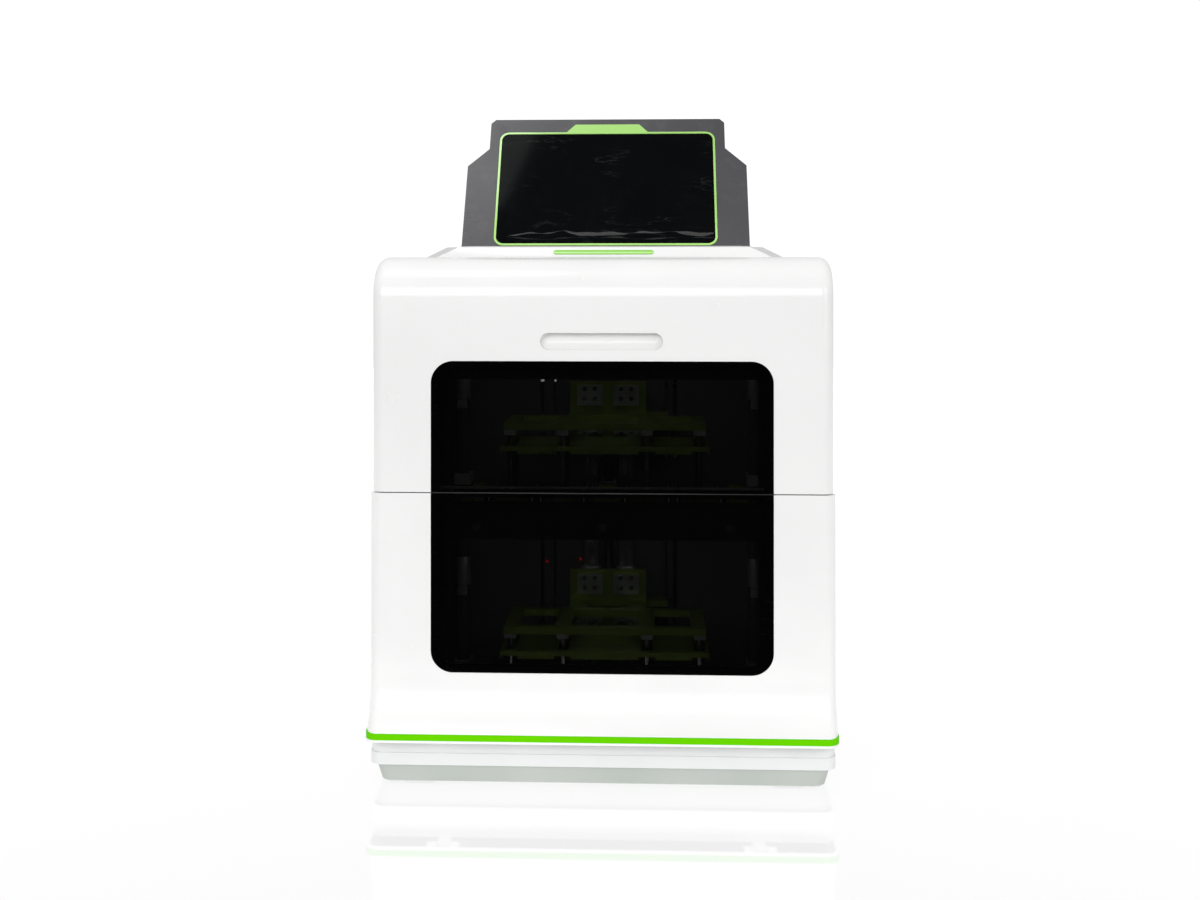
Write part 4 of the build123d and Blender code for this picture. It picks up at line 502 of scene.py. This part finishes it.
def addDisc(bm, middle, radius, depth, direction, sides=24, soften=0.0):
    # a round piece whose axis lies along direction
    turn = Vector((0, 0, 1)).rotation_difference(Vector(direction)).to_matrix().to_4x4()
    made = bmesh.ops.create_cone(
        bm, cap_ends=True, segments=sides, radius1=radius, radius2=radius, depth=depth,
        matrix=Matrix.Translation(Vector(middle)) @ turn)
    if soften:
        edges = [edge for edge in {e for v in made["verts"] for e in v.link_edges}
                 if any(len(face.verts) == sides for face in edge.link_faces)]
        bmesh.ops.bevel(bm, geom=edges, offset=soften, affect="EDGES", segments=2, profile=0.5, material=-1)


def addSocketScrew(bm, middle, radius, height, direction, sides=20):
    # cylinder head with a round socket recess; middle is where the head meets its seat
    axis = Vector(direction).normalized()
    turn = Vector((0, 0, 1)).rotation_difference(axis).to_matrix().to_4x4()
    place = Matrix.Translation(Vector(middle)) @ turn
    profile = [(radius, 0.0), (radius, 0.86), (radius * 0.9, 1.0), (radius * 0.56, 1.0), (radius * 0.5, 0.93),
               (radius * 0.5, 0.4)]
    verts = [bm.verts.new(place @ Vector((out, 0, rise * height))) for out, rise in profile]
    edges = [bm.edges.new(pair) for pair in zip(verts, verts[1:])]
    spun = bmesh.ops.spin(bm, geom=verts + edges, cent=Vector(middle), axis=axis, angle=2 * pi, steps=sides,
                          use_merge=True)
    bottoms = [edge for edge in bm.edges if edge.is_boundary]
    bmesh.ops.holes_fill(bm, edges=bottoms, sides=0)
    return spun


def smoothCopy(nodeName, sharpAngle=30.0, material=None, edge=0.0):
    # the CAD surface, joined up and shaded smooth, in the node's place
    bm = bmesh.new()
    bm.from_mesh(nodes[nodeName].data)
    bmesh.ops.remove_doubles(bm, verts=bm.verts, dist=1e-6)
    bmesh.ops.dissolve_limit(bm, angle_limit=radians(0.2), verts=bm.verts, edges=bm.edges)
    mesh = bpy.data.meshes.new(nodeName + "_skin")
    bm.to_mesh(mesh)
    bm.free()
    mesh.shade_smooth()
    mesh.set_sharp_from_angle(angle=radians(sharpAngle))
    mesh.materials.append(material or finishes[slotOf[nodeName]])
    piece = bpy.data.objects.new(nodeName + "_skin", mesh)
    bpy.context.scene.collection.objects.link(piece)
    if edge:
        rounding = piece.modifiers.new("softEdges", "BEVEL")
        rounding.width = edge
        rounding.segments = 2
        rounding.limit_method = "ANGLE"
        rounding.angle_limit = radians(50)
        rounding.use_clamp_overlap = True
    evening = piece.modifiers.new("evenNormals", "WEIGHTED_NORMAL")
    evening.keep_sharp = True
    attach(piece, bodyOf[nodeName])
    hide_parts(nodeName)
    return piece


for nodeName in ("upper_door_shell", "lower_door_shell", "roof_cover", "base_tray", "plinth",
                 "screen_housing", "screen_frame", "handle_cup", "door_strip", "upper_magnet_rods",
                 "lower_magnet_rods"):
    smoothCopy(nodeName)
smoothCopy("light_bar", material=lightBarGlow)
print("smooth skins laid over the moulded shells")


# ---- dished liner inside the finger recess
recess = {"width": 116.8, "height": 16.0, "bottom": 418.7, "front": -226.05, "shoulder": 1.0, "depth": 6.7,
          "slope": 0.5, "floorRound": 4.4, "roofRound": 1.5, "turns": 12, "steps": 10}


def pillRing(bm, y, floorRise, roofDrop):
    # outline of the recess at one depth, its floor raised and its roof lowered
    half = (recess["height"] - floorRise - roofDrop) / 2
    reach = (recess["width"] - recess["height"]) / 2
    middle = recess["bottom"] + floorRise + half
    ring = []
    for side in (1, -1):
        for step in range(recess["turns"] + 1):
            angle = side * (pi / 2 - pi * step / recess["turns"])
            ring.append(bm.verts.new(((side * (reach + half * cos(angle))) * mm, y * mm,
                                      (middle + half * sin(angle)) * mm)))
    return ring


def makeRecess():
    bm = bmesh.new()
    rings = [pillRing(bm, recess["front"], 0.0, 0.0)]
    for step in range(recess["steps"] + 1):
        angle = pi / 2 * step / recess["steps"]
        depth = recess["shoulder"] + (recess["depth"] - recess["shoulder"]) * sin(angle)
        turn = 1 - cos(angle)
        floorRise = recess["slope"] * depth + recess["floorRound"] * turn
        rings.append(pillRing(bm, recess["front"] + depth, floorRise, recess["roofRound"] * turn))
    for first, second in zip(rings, rings[1:]):
        for index in range(len(first)):
            after = (index + 1) % len(first)
            bm.faces.new((first[index], first[after], second[after], second[index]))
    bm.faces.new(rings[-1])
    finishPiece("recess_liner", bm, "upper_door", "casing_white", sharpAngle=40.0)


makeRecess()

# ---- polished edges of the two panes, seen as a thin line at the seam
paneEdge = {"halfWidth": 163.2, "thickness": 0.34, "front": -228.6, "back": -225.9, "reach": 0.25}
edgeLook = {"tint": (0.045, 0.047, 0.045), "shade": (0.03, 0.032, 0.03), "rough": (0.1, 0.2), "specular": 0.2,
            "dustAmount": 0.02}
edgeFinish = paintMaterial("polishedEdge", edgeLook)
for door, height in (("upper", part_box("upper_window")[0].z - paneEdge["reach"] * mm),
                     ("lower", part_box("lower_window")[1].z + paneEdge["reach"] * mm)):
    bm = bmesh.new()
    addBox(bm, (0, (paneEdge["front"] + paneEdge["back"]) / 2 * mm, height),
           (2 * paneEdge["halfWidth"] * mm, (paneEdge["back"] - paneEdge["front"]) * mm,
            paneEdge["thickness"] * mm),
           soften=0.08 * mm)
    finishPiece(door + "_pane_edge", bm, door + "_door", "smoked_glass", edgeFinish)


# ---- protective film on the screen, with its soft wrinkles
# the ribbons are pale bands of painted highlight along the film's lower fold, partly its own whitening
film = {"width": 224.8, "height": 134.4, "bottomZ": 523.3, "frontY": -124.0, "glass": 137.4, "tilt": 28.4,
        "lift": 0.22, "waves": 0.1, "cells": (110, 64),
        "sheenRibbons": ({"height": 0.5345, "swing": 0.022, "width": 0.0022, "strength": 1.0, "seed": 0.3},
                    {"height": 0.5295, "swing": 0.01, "width": 0.0011, "strength": 0.5, "seed": 4.1})}


def filmMaterial():
    # clear film: hardly seen, but for a wavy ribbon along its lower edge and a few thin creases, drawn in
    # pale grey: painted highlight where the folds catch the light, partly the film's own whitening where it
    # lifts
    material, tree, shader, vector = startMaterial("screenFilm")
    parts = addNode(tree, "ShaderNodeSeparateXYZ")
    connect(tree, vector, parts.inputs[0])
    sheenRibbons = None
    for sheenRibbon in film["sheenRibbons"]:
        along = addNode(tree, "ShaderNodeCombineXYZ")
        connect(tree, parts.outputs["X"], along.inputs["X"])
        along.inputs["Y"].default_value = sheenRibbon["seed"]
        wander = mathNode(tree, "SUBTRACT", noiseNode(tree, along.outputs[0], 17.0, 2.0), 0.5)
        swing = mathNode(tree, "MULTIPLY", wander, sheenRibbon["swing"])
        level = mathNode(tree, "SUBTRACT", parts.outputs["Z"], mathNode(tree, "ADD", swing, sheenRibbon["height"]))
        swell = noiseNode(tree, along.outputs[0], 31.0, 1.0)
        width = rangeNode(tree, swell, 0.36, 0.62, 0.0, sheenRibbon["width"])
        near = mathNode(tree, "SUBTRACT", width, mathNode(tree, "ABSOLUTE", level))
        mask = mathNode(tree, "MULTIPLY", rangeNode(tree, near, 0.0, 0.0006), sheenRibbon["strength"])
        sheenRibbons = mask if sheenRibbons is None else mathNode(tree, "MAXIMUM", sheenRibbons, mask)
    turned = addNode(tree, "ShaderNodeMapping")
    turned.inputs["Rotation"].default_value = (0.0, 0.7, 0.0)
    turned.inputs["Scale"].default_value = (1.0, 1.0, 7.0)
    connect(tree, vector, turned.inputs["Vector"])
    ripple = mathNode(tree, "SUBTRACT", noiseNode(tree, turned.outputs[0], 19.0, 3.0), 0.5)
    fold = rangeNode(tree, mathNode(tree, "ABSOLUTE", ripple), 0.0, 0.012, 1.0, 0.0)
    patch = rangeNode(tree, noiseNode(tree, vector, 21.0, 1.0), 0.52, 0.66)
    creaseSheen = mathNode(tree, "MULTIPLY", mathNode(tree, "MULTIPLY", fold, patch), 0.3)
    streakSheen = mathNode(tree, "MAXIMUM", sheenRibbons, creaseSheen)
    # the pale grey ribbon and creases shown through the alpha are a painted highlight of light on the folds
    connect(tree, rangeNode(tree, streakSheen, 0.0, 1.0, 0.0, 0.3), shader.inputs["Alpha"])
    shade = rangeNode(tree, noiseNode(tree, vector, 60.0, 2.0), 0.3, 0.7, 0.8, 1.0)
    finish = blendColours(tree, 1.0, colour(0.2, 0.195, 0.195), shade, "MULTIPLY")
    connect(tree, finish, shader.inputs["Base Color"])
    shader.inputs["Roughness"].default_value = 0.3
    shader.inputs["Specular IOR Level"].default_value = 0.15
    addBump(tree, shader, streakSheen, 0.3, 0.0003)
    return material


def makeFilm():
    bm = bmesh.new()
    columns, rows = film["cells"]
    bmesh.ops.create_grid(bm, x_segments=columns, y_segments=rows, size=0.5)
    tilt = radians(film["tilt"])
    across = Vector((1, 0, 0))
    outward = Vector((0, -cos(tilt), sin(tilt)))
    upward = outward.cross(across)
    origin = Vector((0, film["frontY"], film["bottomZ"])) * mm
    for vert in bm.verts:
        u, v = vert.co.x, vert.co.y + 0.5
        low = max(0.0, 1.0 - v * 1.5)
        wave = sin(u * 31.0 + 3.0 * sin(v * 9.0)) * sin(v * 17.0 + 2.0 * sin(u * 11.0))
        lift = (film["lift"] + film["waves"] * (1 + wave) * low) * mm
        rise = (film["height"] * v + (film["glass"] - film["height"]) / 2) * mm
        vert.co = origin + across * (u * film["width"] * mm) + upward * rise + outward * lift
    return finishPiece("screen_film", bm, "chassis", "screen_black", filmMaterial(), sharpAngle=60.0)


makeFilm()
print("panes and screen dressed")


# ---- lead screws with their thread
thread = {"crest": 5.0, "root": 4.35, "pitch": 2.5, "lead": 10.0, "steps": 20}


def makeThread(nodeName):
    low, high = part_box(nodeName)
    bm = bmesh.new()
    crest, root = thread["crest"] * mm, thread["root"] * mm
    pitch, lead = thread["pitch"] * mm, thread["lead"] * mm
    centre = Vector((0, (low.y + high.y) / 2, 0))
    height = low.z - lead
    verts = []
    while height < high.z + 2 * pitch:
        for share, radius in ((0.0, crest), (0.3, crest), (0.5, root), (0.8, root)):
            verts.append(bm.verts.new((radius, centre.y, height + share * pitch)))
        height += pitch
    edges = [bm.edges.new(pair) for pair in zip(verts, verts[1:])]
    steps = thread["steps"]
    bmesh.ops.spin(bm, geom=verts + edges, cent=centre, axis=(0, 0, 1), dvec=(0, 0, lead / steps),
                   angle=2 * pi, steps=steps)
    bmesh.ops.remove_doubles(bm, verts=bm.verts, dist=2e-6)
    for level, sign in ((low.z, -1), (high.z, 1)):
        geometry = list(bm.verts) + list(bm.edges) + list(bm.faces)
        cut = bmesh.ops.bisect_plane(bm, geom=geometry, plane_co=(0, 0, level), plane_no=(0, 0, sign),
                                     clear_outer=True)
        rim = [item for item in cut["geom_cut"] if isinstance(item, bmesh.types.BMEdge)]
        bmesh.ops.edgenet_fill(bm, edges=rim)
    piece = finishPiece(nodeName + "_thread", bm, bodyOf[nodeName], "rod_steel", sharpAngle=25.0)
    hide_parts(nodeName)


for tier in ("upper", "lower"):
    makeThread(tier + "_lead_screw")
print("lead screws threaded")


# ---- socket screws on the blocks, and small parts of the two stations
blockScrew = {"radius": 2.6, "height": 1.9, "spreadX": 5.6, "spreadZ": 5.4, "clampX": 20.0}


def makeBlockScrews(tier):
    for kind, body in (("rod_carriages", "rods"), ("comb_carriages", "combs")):
        low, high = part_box(tier + "_" + kind)
        bm = bmesh.new()
        middleZ = (high.z - 11 * mm) if kind == "rod_carriages" else (low.z + high.z) / 2
        spreadZ = blockScrew["spreadZ"] if kind == "rod_carriages" else 0.0
        for side in (-1, 1):
            for stepX in (-1, 1):
                for stepZ in ((-1, 1) if spreadZ else (0,)):
                    place = ((side * blockScrew["clampX"] + stepX * blockScrew["spreadX"]) * mm, low.y,
                             middleZ + stepZ * spreadZ * mm)
                    addSocketScrew(bm, place, blockScrew["radius"] * mm, blockScrew["height"] * mm,
                                   (0, -1, 0))
        finishPiece(tier + "_" + kind + "_screws", bm, tier + "_" + body, "rod_steel")


for tier in ("upper", "lower"):
    makeBlockScrews(tier)

sensorLamp = {"radius": 1.6, "places": ((-70.0, 168.0), (-32.0, 171.0)), "reach": 1.4}


def sensorMaterial():
    material, tree, shader, vector = startMaterial("sensorRed")
    speck = rangeNode(tree, noiseNode(tree, vector, 900.0, 2.0), 0.3, 0.7, 0.75, 1.0)
    glow = blendColours(tree, 1.0, colour(0.9, 0.03, 0.02), speck, "MULTIPLY")
    connect(tree, glow, shader.inputs["Base Color"])
    connect(tree, glow, shader.inputs["Emission Color"])
    shader.inputs["Emission Strength"].default_value = 0.9
    shader.inputs["Roughness"].default_value = 0.3
    return material


bm = bmesh.new()
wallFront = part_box("back_wall")[0].y
for x, z in sensorLamp["places"]:
    addDisc(bm, (x * mm, wallFront - sensorLamp["reach"] / 2 * mm, z * mm), sensorLamp["radius"] * mm,
            sensorLamp["reach"] * mm, (0, -1, 0), sides=20, soften=0.5 * mm)
finishPiece("sensor_lamps", bm, "chassis", "fitting_black", sensorMaterial())

# metal sleeve round each lamp tube, with its terminal block in front below
lampSleeve = {"radius": 8.3, "x": 163.0, "rise": 83.2, "length": 32.0, "sides": 28,
              "block": (11.0, 4.0, 10.0)}
sleeveLook = {"tint": (0.62, 0.62, 0.63), "shade": (0.45, 0.45, 0.47), "stretch": (900.0, 900.0, 60.0),
              "rough": (0.25, 0.4), "metallic": 0.4, "scuffTint": (0.75, 0.75, 0.76)}
sleeveMetal = metalMaterial("lampSleeve", sleeveLook)
lampLow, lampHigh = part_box("uv_lamps")
lampY = (lampLow.y + lampHigh.y) / 2
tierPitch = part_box("upper_heater_bars")[1].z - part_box("lower_heater_bars")[1].z
bm = bmesh.new()
for side in (-1, 1):
    for step in (0, 1):
        foot = lampLow.z + step * tierPitch + lampSleeve["rise"] * mm
        addDisc(bm, (side * lampSleeve["x"] * mm, lampY, foot + lampSleeve["length"] / 2 * mm),
                lampSleeve["radius"] * mm, lampSleeve["length"] * mm, (0, 0, 1), sides=lampSleeve["sides"],
                soften=0.8 * mm)
        width, depth, height = lampSleeve["block"]
        addBox(bm, (side * lampSleeve["x"] * mm, lampLow.y - depth * 0.4 * mm, foot - height / 2 * mm),
               (width * mm, depth * mm, height * mm), soften=0.5 * mm)
finishPiece("lamp_sleeves", bm, "chassis", "rod_steel", sleeveMetal)

# ---- pale edge strips of the heated places on each tray, turned down at the front
trayStrip = {"places": (21.0, 65.2, 74.0, 118.3), "width": 1.3, "rise": 0.3, "stop": 2.4, "drop": 8.0,
             "lap": 1.2}
for tier in ("upper", "lower"):
    low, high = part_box(tier + "_heater_bars")
    lap = trayStrip["lap"] * mm
    rise, stop, drop = (trayStrip[size] * mm for size in ("rise", "stop", "drop"))
    bm = bmesh.new()
    for place in trayStrip["places"]:
        for side in (-1, 1):
            addBox(bm, (side * place * mm, (low.y + high.y - lap) / 2, high.z + rise / 2),
                   (trayStrip["width"] * mm, high.y - low.y + lap, rise), soften=0.1 * mm)
            addBox(bm, (side * place * mm, low.y - lap / 2, high.z + (stop - drop) / 2),
                   (trayStrip["width"] * mm, lap, stop + drop), soften=0.2 * mm)
    finishPiece(tier + "_tray_strips", bm, bodyOf[tier + "_heater_bars"], "socket_white")

# ---- rear screws
rearScrew = {"radius": 3.0, "height": 1.8, "inset": 9.0}
low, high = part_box("rear_panel")
bm = bmesh.new()
for x in (low.x + rearScrew["inset"] * mm, 0.0, high.x - rearScrew["inset"] * mm):
    for z in (low.z + rearScrew["inset"] * mm, (low.z + high.z) / 2, high.z - rearScrew["inset"] * mm):
        if x or abs(z - (low.z + high.z) / 2) > 0.01:
            addSocketScrew(bm, (x, high.y, z), rearScrew["radius"] * mm, rearScrew["height"] * mm, (0, 1, 0))
finishPiece("rear_panel_screws", bm, "chassis", "rod_steel")
print("small parts placed")


# ---- studio
floorFacts = {"left": -4.0, "right": 4.0, "front": -0.6, "back": 6.0}


def makeFloor():
    bm = bmesh.new()
    bmesh.ops.create_grid(bm, x_segments=1, y_segments=1, size=0.5)
    size = (floorFacts["right"] - floorFacts["left"], floorFacts["back"] - floorFacts["front"], 1)
    bmesh.ops.scale(bm, vec=size, verts=bm.verts)
    bmesh.ops.translate(bm, vec=(0, (floorFacts["front"] + floorFacts["back"]) / 2, 0), verts=bm.verts)
    mesh = bpy.data.meshes.new("studioFloor")
    bm.to_mesh(mesh)
    bm.free()
    floor = bpy.data.objects.new("studioFloor", mesh)
    bpy.context.scene.collection.objects.link(floor)
    material, tree, shader, vector = startMaterial("studioFloor")
    shader.inputs["Base Color"].default_value = colour(0.12, 0.12, 0.12)
    shader.inputs["Emission Color"].default_value = colour(1.0, 1.0, 1.0)
    shader.inputs["Emission Strength"].default_value = 0.77
    shader.inputs["Specular IOR Level"].default_value = 0.75
    mottle = rangeNode(tree, noiseNode(tree, vector, 3.0, 2.0), 0.3, 0.7, 0.03, 0.045)
    connect(tree, mottle, shader.inputs["Roughness"])
    mesh.materials.append(material)


def makeWorld(backdrop, low, high):
    # the camera sees a white backdrop; the object is lit by a room that is dark behind the camera
    world = bpy.data.worlds.new("studio")
    bpy.context.scene.world = world
    world.use_nodes = True
    tree = world.node_tree
    background = tree.nodes["Background"]
    place = addNode(tree, "ShaderNodeTexCoord")
    parts = addNode(tree, "ShaderNodeSeparateXYZ")
    connect(tree, place.outputs["Generated"], parts.inputs[0])
    lift = mathNode(tree, "ADD", mathNode(tree, "MULTIPLY", parts.outputs["Z"], 0.8),
                    mathNode(tree, "MULTIPLY", parts.outputs["Y"], 0.6))
    shade = rangeNode(tree, lift, -0.6, 0.5, low, high)
    path = addNode(tree, "ShaderNodeLightPath")
    pick = addNode(tree, "ShaderNodeMix", data_type="FLOAT")
    connect(tree, path.outputs["Is Camera Ray"], pick.inputs[0])
    connect(tree, shade, pick.inputs[2])
    pick.inputs[3].default_value = backdrop
    connect(tree, pick.outputs[0], background.inputs["Strength"])
    background.inputs["Color"].default_value = colour(1.0, 1.0, 1.0)


def addLight(name, place, aim, size, power, tint=(1.0, 1.0, 1.0)):
    data = bpy.data.lights.new(name, "AREA")
    data.shape = "RECTANGLE"
    data.size, data.size_y = size
    data.energy = power
    data.color = tint
    light = bpy.data.objects.new(name, data)
    bpy.context.scene.collection.objects.link(light)
    light.location = place
    light.rotation_euler = (Vector(aim) - Vector(place)).to_track_quat("-Z", "Y").to_euler()
    light.visible_camera = False
    return light


makeFloor()
makeWorld(1.05, 0.24, 0.73)
addLight("frontTop", (-0.5, -2.7, 1.15), (0, -0.2, 0.3), (2.4, 0.9), 38.0)
addLight("topLeft", (-0.5, -0.85, 2.5), (-0.1, -0.1, 0.6), (0.55, 0.45), 4.5)
addLight("frontSide", (1.9, -1.9, 1.0), (0, -0.1, 0.3), (1.2, 1.2), 12.0)
addLight("cabinLight", (0.0, -0.17, 0.47), (0.0, -0.05, 0.3), (0.28, 0.03), 0.07)
addLight("lowerCabinLight", (0.0, -0.185, 0.222), (0.0, -0.05, 0.08), (0.28, 0.03), 0.045)
print("studio lit")
